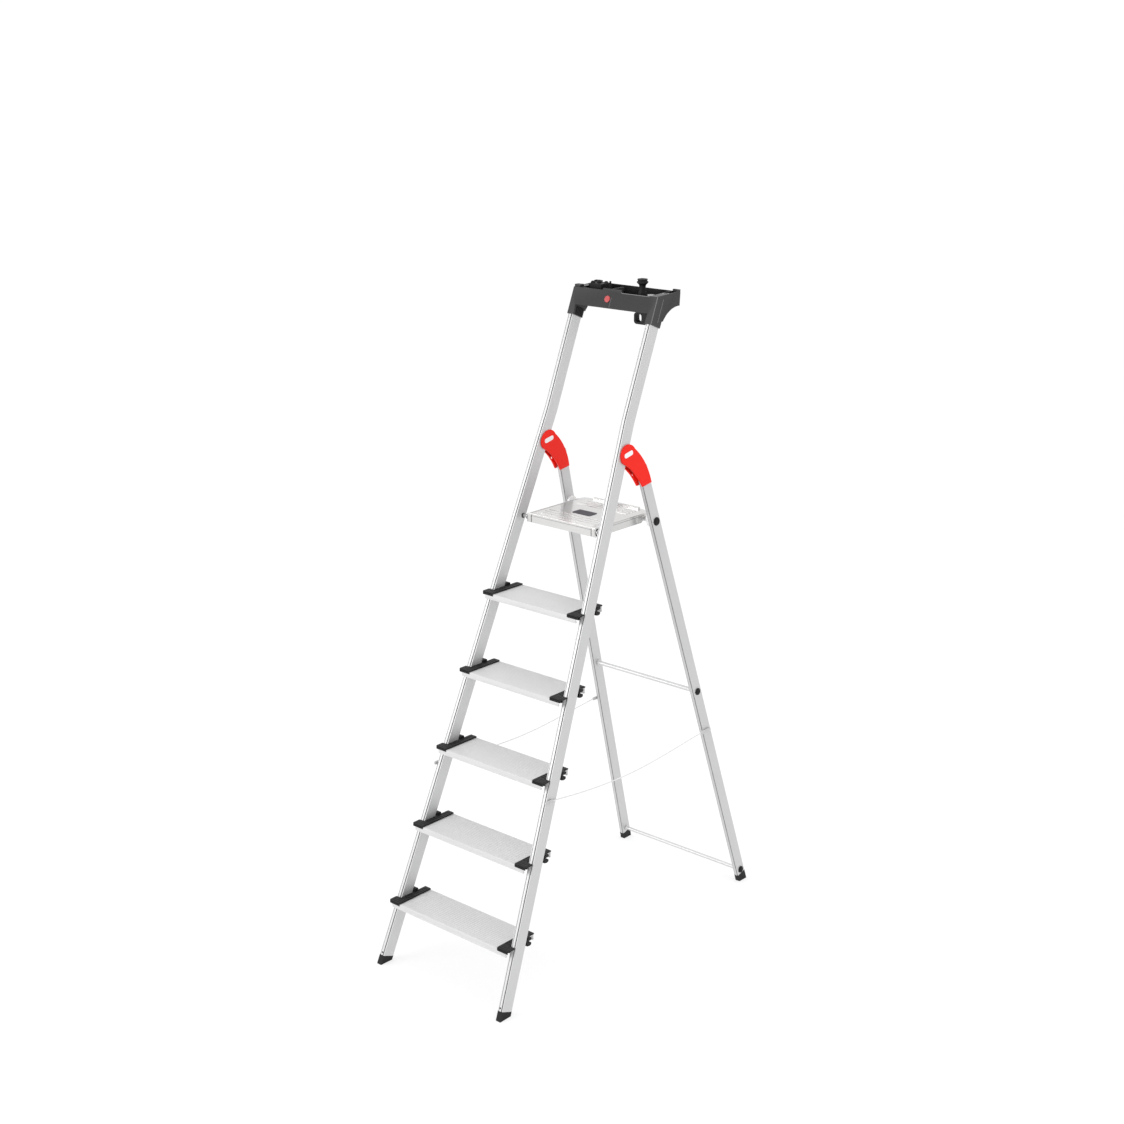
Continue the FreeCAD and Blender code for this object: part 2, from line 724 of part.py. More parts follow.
# ---------------------------------------------------------------------------
# Tool tray
# ---------------------------------------------------------------------------


def make_tray():
    """Moulded tray: apron, basin, rear-reaching arms and two rail sockets."""
    wall, half = num("tray_wall"), num("half_top") + num("socket_wall")
    front = num("socket_wall") / cos(LEAN_FRONT)
    top, floor_z = num("tray_top"), num("tray_floor")
    under = floor_z - num("tray_under")
    y_top = rail_y(top)
    back = y_top + num("tray_depth")
    wide = num("rail_width") + 2 * num("socket_wall")
    side_view = [(rail_y(under) - front, under), (y_top - front, top), (back, top + 4), (back + 5, top + 1),
                 (back + 2, floor_z + 2), (back - 20, under)]
    solids = [prism("YZ_Plane", side_view, 2 * half, Placement(Vector(-half, 0, 0), Rotation()))]
    arm_view = [(rail_y(under - 24) + 30, under - 24), (back - 40, under - 24), (back + 2, floor_z + 2),
                (back + 5, top + 9), (back - 6, top + 9), (back - 14, top + 2), (rail_y(under) + 30, floor_z)]
    solids += [prism("YZ_Plane", arm_view, wide, Placement(Vector(x, 0, 0), Rotation()))
               for x in (-half, half - wide)]

    basin_front = wall / cos(LEAN_FRONT) - front
    basin_view = [(rail_y(floor_z) + basin_front, floor_z), (rail_y(top + 30) + basin_front, top + 30),
                  (back - wall, top + 30), (back - wall, floor_z + 10), (back - 45, floor_z)]
    trims = [prism("YZ_Plane", basin_view, 2 * (half - wide - wall),
                   Placement(Vector(wide + wall - half, 0, 0), Rotation()))]
    pocket_view = [(y_top + 48, floor_z + 6), (y_top + 52, top + 30), (back - 1, top + 30),
                   (back - wall, floor_z + 12)]
    trims += [prism("YZ_Plane", pocket_view, wide - wall, Placement(Vector(x, 0, 0), Rotation()))
              for x in (wall - half, half - wide)]
    trims.append(cylinder("scoop_radius", 400, (-200, back - 2, floor_z + 4 - num("scoop_radius")), TURN_X))
    trims.append(box(100, 14, 20, (22, y_top - 10, top - 3)))
    tray = cut(fuse(*solids), *trims)

    sockets, cores = [], []
    start, gap = num("socket_start"), num("socket_play")
    for _, side in SIDES:
        x = side * (num("half_top") - num("rail_width") / 2)
        deep = num("rail_depth") + 2 * num("socket_wall")
        high = top / cos(LEAN_FRONT) - start - 20
        sockets.append(box(wide, deep, high, (x - wide / 2, -num("socket_wall"), start), FRONT))
        cores.append(box(num("rail_width") + 2 * gap, num("rail_depth") + 2 * num("nose") + 2 * gap, 70,
                         (x - num("rail_width") / 2 - gap, -num("nose") - gap, start - 5), FRONT))
    raised = box(66, 3.4, 48, (-44, -num("socket_wall"), (top - 40) / cos(LEAN_FRONT)), FRONT)
    shoulder = box(20, 16, 8, (-half + 1.5, y_top - 0.5, top - 1))
    return node(cut(fuse(tray, raised, shoulder, *sockets), *cores), "tray_body")


def make_bucket_ring():
    """Ring under the apron for a bucket handle."""
    top = num("tray_floor") - 7
    low = top - 32
    y = rail_y(top) - num("socket_wall")
    right = num("half_top") - num("rail_width") - num("socket_wall") - 0.2
    left = 81
    body = box(right - left, 17.5, 32, (left, y + 1, low))
    body = round_edges(body, 9, along(Vector(0, 1, 0)))
    window = box(20, 40, 22, (left + 6, y - 10, low + 6))
    window = round_edges(window, 7, along(Vector(0, 1, 0)))
    return node(cut(body, window), "bucket_ring")


def make_knob():
    """Mushroom knob on a tapered base, for a cable or a paint pot."""
    x, y, floor_z = 70, rail_y(num("tray_top")) + 30, num("tray_floor")
    base = cone(17, 11, 36, (x, y, floor_z))
    neck = cylinder(8.5, 26, (x, y, floor_z + 36))
    head = fuse(cone(9, 13.5, 6, (x, y, floor_z + 61)), cylinder(13.5, 6, (x, y, floor_z + 67)),
                cone(13.5, 11, 4, (x, y, floor_z + 73)))
    slot = box(40, 3, 8, (x - 20, y - 1.5, floor_z + 71))
    return node(cut(fuse(base, neck, head), slot), "tray_knob")


def make_tool_rack():
    """Slotted block for tools in the left half of the tray."""
    y, floor_z = rail_y(num("tray_top")) + 19.5, num("tray_floor")
    view = [(y, floor_z), (y + 26, floor_z), (y + 40, floor_z + 3.6), (y + 40, floor_z + 50),
            (y, floor_z + 50)]
    body = prism("YZ_Plane", view, 44, Placement(Vector(-112, 0, 0), Rotation()))
    slots = [box(26, 6, 40, (-103, y + 5 + 12 * k, floor_z + 20)) for k in range(3)]
    body = cut(body, *slots)
    horn = cone(7, 2.5, 58, (-52, y + 20, floor_z))
    foot = box(30, 19, 8, (-67, y + 8, floor_z))
    ear = box(12, 15, 44, (-124, y + 12, floor_z))
    return node(fuse(round_edges(body, 2, along(Vector(0, 0, 1), 45)), horn, foot, ear), "tool_rack")


def make_tray_divider():
    """Wall across the tray between the tool rack and the screw well."""
    y, floor_z = rail_y(num("tray_floor")) + 5, num("tray_floor")
    view = [(y, floor_z), (y + 19, floor_z + 44), (y + 66, floor_z + 44), (y + 58, floor_z + 2),
            (y + 50, floor_z)]
    return node(prism("YZ_Plane", view, 3, Placement(Vector(-18, 0, 0), Rotation())), "tray_divider")


def make_badge():
    """Plain red button on the apron."""
    height = 1817
    turn = Rotation(Vector(1, 0, 0), 90)
    body = fuse(cylinder(9.5, 1.6, (-20, 0, 0), turn), cone(9.5, 7, 1.2, (-20, -1.6, 0), turn))
    place = Placement(Vector(0, -num("socket_wall"), height / cos(LEAN_FRONT)), Rotation())
    body.Placement = FRONT * place * body.Placement
    return node(body, "tray_badge")


def make_socket_screws():
    """Small screw heads on the rail fronts, just below the sockets."""
    heads = []
    for _, side in SIDES:
        x = side * (num("half_top") - num("rail_width") / 2)
        heads.append(cylinder(2.6, 1.4, (x - side * 2, -num("nose"), num("socket_start") - 8),
                              Rotation(Vector(1, 0, 0), 90), FRONT))
    return node(group(*heads), "socket_screws")


# ---------------------------------------------------------------------------
# Spreader cords and their clips
# ---------------------------------------------------------------------------

# Side view of a cord, (behind the rail's own end, above the floor), by hand.
CORD_ROUTE = [(247, 550.5), (281, 546), (338, 538), (396, 531.5), (455, 526.5), (515, 523), (576, 521.5),
              (637, 522.5), (698, 525.5), (758, 530), (816, 535), (872, 540), (904, 542)]


def cord_plane(side):
    """Distance of a cord from the middle of the ladder."""
    return side * (outer_x(550) + 3.2)


def make_cord(name, side):
    """Round cord: straight runs joined by large tangent arcs."""
    points = [Vector(cord_plane(side), y - num("half_depth"), z) for y, z in CORD_ROUTE]
    edges, radii, here = [], [], points[0]
    for before, corner, after in zip(points, points[1:], points[2:]):
        arrive, leave = (corner - before), (after - corner)
        turn = arrive.getAngle(leave)
        radius = 0.45 * min(arrive.Length, leave.Length) / tan(turn / 2)
        radii.append(radius)
        reach = radius * tan(turn / 2)
        start = corner - Vector(arrive).normalize() * reach
        end = corner + Vector(leave).normalize() * reach
        inward = (Vector(leave).normalize() - Vector(arrive).normalize()).normalize()
        middle = corner + inward * (radius / cos(turn / 2) - radius)
        edges += [Part.makeLine(here, start), Part.Arc(start, middle, end).toShape()]
        here = end
    edges.append(Part.makeLine(here, points[-1]))
    path = Part.Wire(edges)
    section = Part.Wire(Part.makeCircle(num("strap_size") / 2, points[0], points[1] - points[0]))
    tube = path.makePipeShell([section], True, False)
    expected = path.Length * pi * (num("strap_size") / 2) ** 2
    print("cord", name, "length %.1f" % path.Length, "volume ratio %.4f" % (tube.Volume / expected),
          "smallest radius %.0f" % min(radii))
    solid = doc.addObject("Part::Feature", "Cord")
    solid.Shape = tube
    return node(solid, "spreader_cord_" + name)


def make_cord_clips(name, side):
    """The clip on the rail and the clip on the leg that hold one cord."""
    x = cord_plane(side)
    (y0, z0), (y1, z1) = CORD_ROUTE[0], CORD_ROUTE[-1]
    wide, high, gap, base = 5, 9, num("clip_gap"), num("half_depth")
    face = outer_x(550) + 0.8
    inner = face if side > 0 else -face - wide
    front = box(wide, 32 - gap, high, (inner, y0 - 32 - base, z0 - high / 2))
    leg_face = centre_x(z1) + num("leg_width") / 2 + 1.1
    inner = leg_face if side > 0 else -leg_face - wide
    rear = box(wide, 46 - gap, high, (inner, y1 + gap - base, z1 - high / 2))
    clips = []
    for body, label in ((front, "cord_clip_rail_"), (rear, "cord_clip_leg_")):
        clips.append(node(round_edges(body, 3, along(Vector(1, 0, 0))), label + name))
    return clips


# ---------------------------------------------------------------------------
# Assembly
# ---------------------------------------------------------------------------

for name, side in SIDES:
    make_rail(name, side)
    make_leg(name, side)
    make_foot("front", name, side)
    make_foot("rear", name, side)
    make_hinge(name, side)
    make_hinge_bolt(name, side)
    make_hinge_plate(name, side)
    make_deck_pin(name, side)
    make_cord(name, side)
    make_cord_clips(name, side)
    for number in range(1, int(num("tread_count")) + 1):
        make_tread_cap(number, name, side)

for number in range(1, int(num("tread_count")) + 1):
    make_tread(number)

make_rod("deck_rod", "platform_rod")
make_rod("upper_brace", "upper_brace")
make_rod("lower_brace", "lower_brace")
make_rod_caps("deck_rod", "platform_rod_caps", 12)
make_rod_caps("upper_brace", "upper_brace_caps", 10.5)
make_rod_caps("lower_brace", "lower_brace_caps", 10.5)
make_deck()
make_deck_label()
make_tray()
make_bucket_ring()
make_knob()
make_tool_rack()
make_tray_divider()
make_badge()
make_socket_screws()

# ---------------------------------------------------------------------------
# Checks and export
# ---------------------------------------------------------------------------

doc.recompute()
failed = [o.Name + " " + o.Label for o in doc.Objects if {"Invalid", "Error"} & set(o.State)]
failed += [n.Label for n in nodes if n.Shape.isNull() or not n.Shape.isValid()]
if failed:
    raise RuntimeError("failed: " + ", ".join(failed))

whole = FreeCAD.BoundBox()
for piece in nodes:
    whole.add(piece.Shape.BoundBox)
    piece.Shape.exportStep("parts/%s.step" % piece.Label)
print(len(nodes), "nodes", "pivot", PIVOT, "deck pin", deck_pin_point())
print("box", whole)
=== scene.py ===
"""A folding step ladder: five treads, a platform, a tool tray and a rear frame on two red hinges.

Lengths in the sub-assemblies are millimetres; meshes turn into metres when they are made.
-Y is the climbing side, +X the right side, +Z up, and the origin is the middle of the footprint.
"""

import logging
import math
from collections.abc import Callable, Iterable, Sequence
from dataclasses import dataclass, field
from enum import Enum
from typing import Any

import bmesh
import bpy
from mathutils import Matrix, Vector


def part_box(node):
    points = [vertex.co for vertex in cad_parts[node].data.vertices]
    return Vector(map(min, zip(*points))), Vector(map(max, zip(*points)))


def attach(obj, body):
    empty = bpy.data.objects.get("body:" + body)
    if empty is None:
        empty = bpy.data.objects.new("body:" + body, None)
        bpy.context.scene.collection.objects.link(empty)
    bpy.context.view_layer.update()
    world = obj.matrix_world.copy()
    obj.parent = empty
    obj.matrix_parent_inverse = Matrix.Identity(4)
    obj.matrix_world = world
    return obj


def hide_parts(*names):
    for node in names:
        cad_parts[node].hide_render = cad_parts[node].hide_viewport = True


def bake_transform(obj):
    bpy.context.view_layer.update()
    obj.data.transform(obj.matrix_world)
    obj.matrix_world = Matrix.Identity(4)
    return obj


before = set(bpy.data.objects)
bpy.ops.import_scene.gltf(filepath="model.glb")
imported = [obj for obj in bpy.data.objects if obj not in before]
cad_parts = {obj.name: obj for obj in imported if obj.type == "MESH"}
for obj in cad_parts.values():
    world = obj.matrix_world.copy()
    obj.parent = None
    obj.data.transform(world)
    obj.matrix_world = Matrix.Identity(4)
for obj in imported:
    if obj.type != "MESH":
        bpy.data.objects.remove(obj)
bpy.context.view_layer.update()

MM = 0.001
LOG = logging.getLogger("ladder")

Point = tuple[float, float]
Spot = tuple[float, float, float]
Colour = tuple[float, float, float]
EdgeTest = Callable[[bmesh.types.BMEdge], bool]


class Body(Enum):
    """The moving bodies of the ladder."""

    FRAME = "frame"
    REAR = "rear_frame"
    DECK = "platform"


class Slot(Enum):
    """Material slots named in the record."""

    EXTRUSION = "aluminium_extrusion"
    TREAD = "aluminium_tread"
    ROD = "aluminium_rod"
    DECK = "platform_metal"
    BLACK = "black_plastic"
    RED = "red_plastic"
    PLATE = "light_plate"
    STEEL = "steel"
    CORD = "cord_webbing"
    GREY = "grey_plastic"
    LABEL = "dark_label"
    TRAY = "tray_plastic"


class Side(Enum):
    """Left or right, seen from the climbing side; the value is the sign of x."""

    LEFT = -1
    RIGHT = 1

    @property
    def word(self) -> str:
        """The side's name in lower case."""
        return self.name.lower()


class Grain(Enum):
    """Which way the drawing lines of a metal run, as a turn about X in degrees and an axis."""

    RAIL = (22.05, "Z")
    LEG = (-16.9, "Z")
    ACROSS = (0.0, "X")


# ---------------------------------------------------------------------------
# Shader building
# ---------------------------------------------------------------------------


class Wire:
    """One output socket of a shader tree; arithmetic on it adds Math nodes."""

    def __init__(self, tree: "ShaderTree", socket: bpy.types.NodeSocket) -> None:
        """Remember the tree and the socket."""
        self.tree = tree
        self.socket = socket

    def _math(self, operation: str, left: Any, right: Any) -> "Wire":
        """Add a Math node.

        Args:
            operation: The Math node's operation.
            left: First value, a number or a Wire.
            right: Second value, a number or a Wire.

        Returns:
            The node's output.
        """
        return self.tree.add("ShaderNodeMath", {"operation": operation}, {0: left, 1: right})

    def __add__(self, other: Any) -> "Wire":
        """Sum."""
        return self._math("ADD", self, other)

    __radd__ = __add__

    def __sub__(self, other: Any) -> "Wire":
        """Difference."""
        return self._math("SUBTRACT", self, other)

    def __rsub__(self, other: Any) -> "Wire":
        """Difference, reflected."""
        return self._math("SUBTRACT", other, self)

    def __mul__(self, other: Any) -> "Wire":
        """Product."""
        return self._math("MULTIPLY", self, other)

    __rmul__ = __mul__

    def above(self, low: float, high: float) -> "Wire":
        """A mask that rises from 0 at low to 1 at high."""
        return self.tree.add("ShaderNodeMapRange", {"clamp": True},
                             {"Value": self, "From Min": low, "From Max": high})


class ShaderTree:
    """The node tree of one material, with a Principled shader at its end."""

    def __init__(self, name: str) -> None:
        """Make an empty material with a shader and an output.

        Args:
            name: The material's name.
        """
        self.material = bpy.data.materials.new(name)
        self.material.use_nodes = True
        self.tree = self.material.node_tree
        self.tree.nodes.clear()
        self.shader = self.tree.nodes.new("ShaderNodeBsdfPrincipled")
        output = self.tree.nodes.new("ShaderNodeOutputMaterial")
        self.tree.links.new(self.shader.outputs["BSDF"], output.inputs["Surface"])

    def plug(self, node: bpy.types.Node, values: dict[int | str, Any]) -> None:
        """Set or link the input sockets of a node.

        Args:
            node: The node.
            values: Socket name or number to a value or a Wire.
        """
        for key, value in values.items():
            if isinstance(value, Wire):
                self.tree.links.new(value.socket, node.inputs[key])
            elif isinstance(value, tuple) and node.inputs[key].type == "RGBA":
                node.inputs[key].default_value = (*value, 1.0)
            else:
                node.inputs[key].default_value = value

    def add(self, kind: str, settings: dict[str, Any] | None = None,
            values: dict[int | str, Any] | None = None, output: int | str = 0) -> Wire:
        """Add any node.

        Args:
            kind: The node's type.
            settings: Its properties, set before the sockets.
            values: Socket name or number to a value or a Wire.
            output: The output to hand back.

        Returns:
            The chosen output.
        """
        node = self.tree.nodes.new(kind)
        for key, value in (settings or {}).items():
            setattr(node, key, value)
        self.plug(node, values or {})
        return Wire(self, node.outputs[output])

    def where(self, turn: float = 0.0, scale: Spot = (1.0, 1.0, 1.0)) -> Wire:
        """Coordinates on the piece.

        Args:
            turn: Turn about X in degrees, so that Z runs along a leaning part.
            scale: How many times finer the pattern is along each axis.

        Returns:
            The coordinates.
        """
        spot = self.add("ShaderNodeTexCoord", output="Object")
        turned = self.add("ShaderNodeVectorRotate", {"rotation_type": "X_AXIS"},
                          {"Vector": spot, "Angle": math.radians(turn)})
        return self.add("ShaderNodeVectorMath", {"operation": "MULTIPLY"}, {0: turned, 1: scale})

    def noise(self, where: Wire, scale: float, detail: float = 3.0, rough: float = 0.55) -> Wire:
        """A cloudy value from 0 to 1.

        Args:
            where: Coordinates.
            scale: Cells per metre.
            detail: Octaves.
            rough: How strong the small octaves are.

        Returns:
            The value.
        """
        return self.add("ShaderNodeTexNoise", {},
                        {"Vector": where, "Scale": scale, "Detail": detail, "Roughness": rough})

    def mix(self, factor: Any, low: Any, high: Any) -> Wire:
        """A colour between two others.

        Args:
            factor: 0 for the first, 1 for the second.
            low: First colour.
            high: Second colour.

        Returns:
            The mixed colour.
        """
        node = self.tree.nodes.new("ShaderNodeMix")
        node.data_type = "RGBA"
        sockets = [s for s in node.inputs if s.enabled]
        for socket, value in zip(sockets, (factor, low, high)):
            if isinstance(value, Wire):
                self.tree.links.new(value.socket, socket)
            else:
                socket.default_value = (*value, 1.0) if isinstance(value, tuple) else value
        return Wire(self, next(s for s in node.outputs if s.enabled))

    def bump(self, height: Wire, strength: float, distance: float) -> Wire:
        """A normal from a height.

        Args:
            height: The height, about 0 to 1.
            strength: How strong the relief shows.
            distance: Height of the relief in metres.

        Returns:
            The normal.
        """
        return self.add("ShaderNodeBump", {},
                        {"Height": height, "Strength": strength, "Distance": distance}, "Normal")


@dataclass(frozen=True)
class Finish:
    """What every finish has: a name, a colour and a gloss."""

    name: str
    colour: Colour
    roughness: float

    def material(self) -> bpy.types.Material:
        """The finish's material, made once."""
        made = bpy.data.materials.get(self.name)
        return made or self.build(ShaderTree(self.name))

    def build(self, tree: ShaderTree) -> bpy.types.Material:
        """Build the nodes; each kind of finish does this in its own way.

        Args:
            tree: The empty tree of the material.

        Returns:
            The finished material.
        """
        raise NotImplementedError


@dataclass(frozen=True)
class DrawnMetal(Finish):
    """Anodised aluminium or steel with fine drawing lines and faint handling marks."""

    grain: Grain = Grain.ACROSS
    metallic: float = 0.55
    relief: float = 0.12
    clouding: float = 0.10

    def build(self, tree: ShaderTree) -> bpy.types.Material:
        """Lines along the grain, clouds over them and a few thin scratches."""
        turn, axis = self.grain.value
        fine, slow = 1500.0, 9.0
        lines_at = tree.where(turn, (fine, fine, slow) if axis == "Z" else (slow, fine, fine))
        lines = tree.noise(lines_at, 1.0, 2.0, 0.6)
        clouds = tree.noise(tree.where(turn), 7.0, 4.0, 0.6)
        scratch_at = tree.where(turn + 31.0, (60.0, 900.0, 900.0))
        scratches = tree.noise(scratch_at, 0.35, 1.0).above(0.70, 0.76)
        dark = tuple(part * (1.0 - self.clouding) for part in self.colour)
        bright = tuple(min(1.0, part * 1.06) for part in self.colour)
        tone = tree.mix(lines * 0.35 + clouds * 0.65, dark, bright)
        tone = tree.mix(scratches * 0.12, tone, (0.92, 0.92, 0.92))
        rough = lines * 0.10 + clouds * 0.12 + (self.roughness - 0.11)
        normal = tree.bump(lines + scratches * 0.4, self.relief, 0.00006)
        tree.plug(tree.shader, {"Base Color": tone, "Roughness": rough, "Normal": normal,
                                "Metallic": self.metallic})
        return tree.material


@dataclass(frozen=True)
class Moulded(Finish):
    """Injection moulded plastic: spark-eroded grain, faint dust, and outer edges lightened by rubbing; on the
    badge that lighter edge is a painted highlight.
    """

    grain_scale: float = 1300.0
    relief: float = 0.25
    worn: Colour = (0.20, 0.20, 0.20)
    wear: float = 0.25
    coat: float = 0.0
    shine: float = 0.30

    def build(self, tree: ShaderTree) -> bpy.types.Material:
        """Grain from cells and noise, lighter outer edges: rubbing, and on the badge a painted highlight."""
        here = tree.where()
        cells = tree.add("ShaderNodeTexVoronoi", {"feature": "F1"},
                         {"Vector": here, "Scale": self.grain_scale, "Randomness": 1.0}, "Distance")
        clouds = tree.noise(here, 18.0, 4.0)
        specks = tree.noise(here, self.grain_scale * 0.5, 2.0)
        # Lighter outer edges: rubbing, and on the badge a painted highlight.
        rubbed_edge_and_highlight_mask = tree.add("ShaderNodeNewGeometry", output="Pointiness").above(0.515, 0.60)
        tone = tree.mix(clouds * 0.5 + specks * 0.2, self.colour,
                        tuple(min(1.0, part * 1.25 + 0.004) for part in self.colour))
        tone = tree.mix(rubbed_edge_and_highlight_mask * self.wear * (clouds * 0.8 + 0.4), tone, self.worn)
        rough = clouds * 0.14 + specks * 0.08 + (self.roughness - 0.11)
        normal = tree.bump(cells * 0.6 + specks * 0.4, self.relief, 0.00012)
        tree.plug(tree.shader, {"Base Color": tone, "Roughness": rough, "Normal": normal,
                                "Coat Weight": self.coat, "Coat Roughness": 0.25,
                                "Specular IOR Level": self.shine})
        return tree.material


@dataclass(frozen=True)
class Braided(Finish):
    """Thin braided cord: crossing strands, with the gaps between them darkened as painted shade."""

    pitch: float = 0.0026

    def build(self, tree: ShaderTree) -> bpy.types.Material:
        """Two sets of strands from waves that cross."""
        rate = 1.0 / self.pitch
        one = tree.add("ShaderNodeTexWave", {"bands_direction": "DIAGONAL"},
                       {"Vector": tree.where(0.0, (rate, rate, rate)), "Scale": 0.5, "Distortion": 0.6})
        two = tree.add("ShaderNodeTexWave", {"bands_direction": "DIAGONAL"},
                       {"Vector": tree.where(90.0, (rate, rate, rate)), "Scale": 0.5, "Distortion": 0.6})
        strands = one * 0.5 + two * 0.5
        # Darker gaps between the strands are painted shade.
        tone = tree.mix(strands, tuple(part * 0.86 for part in self.colour), self.colour)
        tree.plug(tree.shader, {"Base Color": tone, "Roughness": strands * -0.1 + self.roughness,
                                "Normal": tree.bump(strands, 0.5, 0.0003)})
        return tree.material


@dataclass(frozen=True)
class Studio:
    """Plain pale floor, soft light and the camera."""

    floor_radius: float = 30.0
    floor_tone: Colour = (0.34, 0.34, 0.34)
    floor_glow: float = 0.66
    world_strength: float = 1.03
    eye: Spot = (3.1263, -3.6088, 2.5545)
    azimuth: float = 41.205
    pitch: float = 16.88
    lens: float = 57.276
    lamps: tuple[tuple[Spot, Spot, float, float], ...] = (
        ((-2.6, -4.6, 2.6), (0.0, 0.0, 0.9), 3.0, 85.0),
        ((0.5, 0.5, 5.5), (0.0, 0.0, 1.0), 3.0, 40.0),
    )

    def build(self) -> None:
        """Make the floor, the lights, the world and the camera."""
        self.floor()
        self.light()
        self.camera()
        LOG.info("studio: floor, %d lamps, camera", len(self.lamps))

    def floor(self) -> None:
        """A wide round floor."""
        shape = bmesh.new()
        bmesh.ops.create_circle(shape, cap_ends=True, radius=self.floor_radius, segments=96)
        mesh = bpy.data.meshes.new("studio_floor")
        shape.to_mesh(mesh)
        shape.free()
        ground = bpy.data.objects.new("studio_floor", mesh)
        bpy.context.scene.collection.objects.link(ground)
        tree = ShaderTree("studio_floor_paint")
        clouds = tree.noise(tree.where(), 1.5, 3.0)
        tone = tree.mix(clouds, self.floor_tone, tuple(part * 0.99 for part in self.floor_tone))
        tree.plug(tree.shader, {"Base Color": tone, "Roughness": 0.9, "Specular IOR Level": 0.0,
                                "Emission Color": (1.0, 1.0, 1.0), "Emission Strength": self.floor_glow})
        mesh.materials.append(tree.material)

    def light(self) -> None:
        """An even pale world and large square lamps."""
        scene = bpy.context.scene
        world = bpy.data.worlds.new("studio_world")
        world.use_nodes = True
        background = world.node_tree.nodes["Background"]
        background.inputs["Color"].default_value = (1.0, 1.0, 1.0, 1.0)
        background.inputs["Strength"].default_value = self.world_strength
        scene.world = world
        scene.view_settings.view_transform = "Standard"
        for number, (spot, target, across, power) in enumerate(self.lamps, start=1):
            lamp = bpy.data.lights.new(f"studio_lamp_{number}", "AREA")
            lamp.size = across
            lamp.energy = power
            holder = bpy.data.objects.new(lamp.name, lamp)
            holder.location = spot
            aim = Vector(target) - Vector(spot)
            holder.rotation_euler = aim.to_track_quat("-Z", "Y").to_euler()
            scene.collection.objects.link(holder)

    def camera(self) -> None:
        """The camera, level, looking down a little on the ladder."""
        data = bpy.data.cameras.new("studio_camera")
        data.lens = self.lens
        data.clip_end = 200.0
        holder = bpy.data.objects.new("studio_camera", data)
        holder.location = self.eye
        holder.rotation_euler = (math.radians(90.0 - self.pitch), 0.0, math.radians(self.azimuth))
        bpy.context.scene.collection.objects.link(holder)
        bpy.context.scene.camera = holder


# ---------------------------------------------------------------------------
# Mesh building
# ---------------------------------------------------------------------------


def rounded(corners: Iterable[Spot], steps: int = 4) -> list[Point]:
    """Round the corners of a closed outline.

    Args:
        corners: (across, up, radius) of each corner; a radius of 0 keeps it sharp.
        steps: Points along each rounded corner, less one.

    Returns:
        The outline's points.
    """
    spots = list(corners)
    outline: list[Point] = []
    for k, (x, y, radius) in enumerate(spots):
        if radius <= 0:
            outline.append((x, y))
            continue
        here = Vector((x, y))
        back = (Vector(spots[k - 1][:2]) - here)
        ahead = (Vector(spots[(k + 1) % len(spots)][:2]) - here)
        half = back.angle(ahead) / 2
        reach = min(radius / math.tan(half), 0.49 * back.length, 0.49 * ahead.length)
        start, end = here + back.normalized() * reach, here + ahead.normalized() * reach
        for step in range(steps + 1):
            t = step / steps
            spot = start * (1 - t) ** 2 + here * (2 * t * (1 - t)) + end * t ** 2
            outline.append((spot.x, spot.y))
    return outline


def turn_to(axis: Spot) -> Matrix:
    """A turn that takes +Z to an axis."""
    return Vector(axis).to_track_quat("Z", "Y").to_matrix().to_4x4()


def at(x: float, y: float, z: float) -> Matrix:
    """A shift."""
    return Matrix.Translation((x, y, z))


def side_view(x: float, y: float = 0.0, z: float = 0.0, face: int = 1) -> Matrix:
    """Frame for an outline drawn (rearwards, up) that is extruded sideways from x."""
    return Matrix(((0, 0, face, x), (1, 0, 0, y), (0, 1, 0, z), (0, 0, 0, 1)))


def sharp_edges(degrees: float = 25.0) -> EdgeTest:
    """A test for edges that turn by more than an angle."""
    limit = math.radians(degrees)
    return lambda edge: len(edge.link_faces) == 2 and edge.calc_face_angle(0.0) > limit


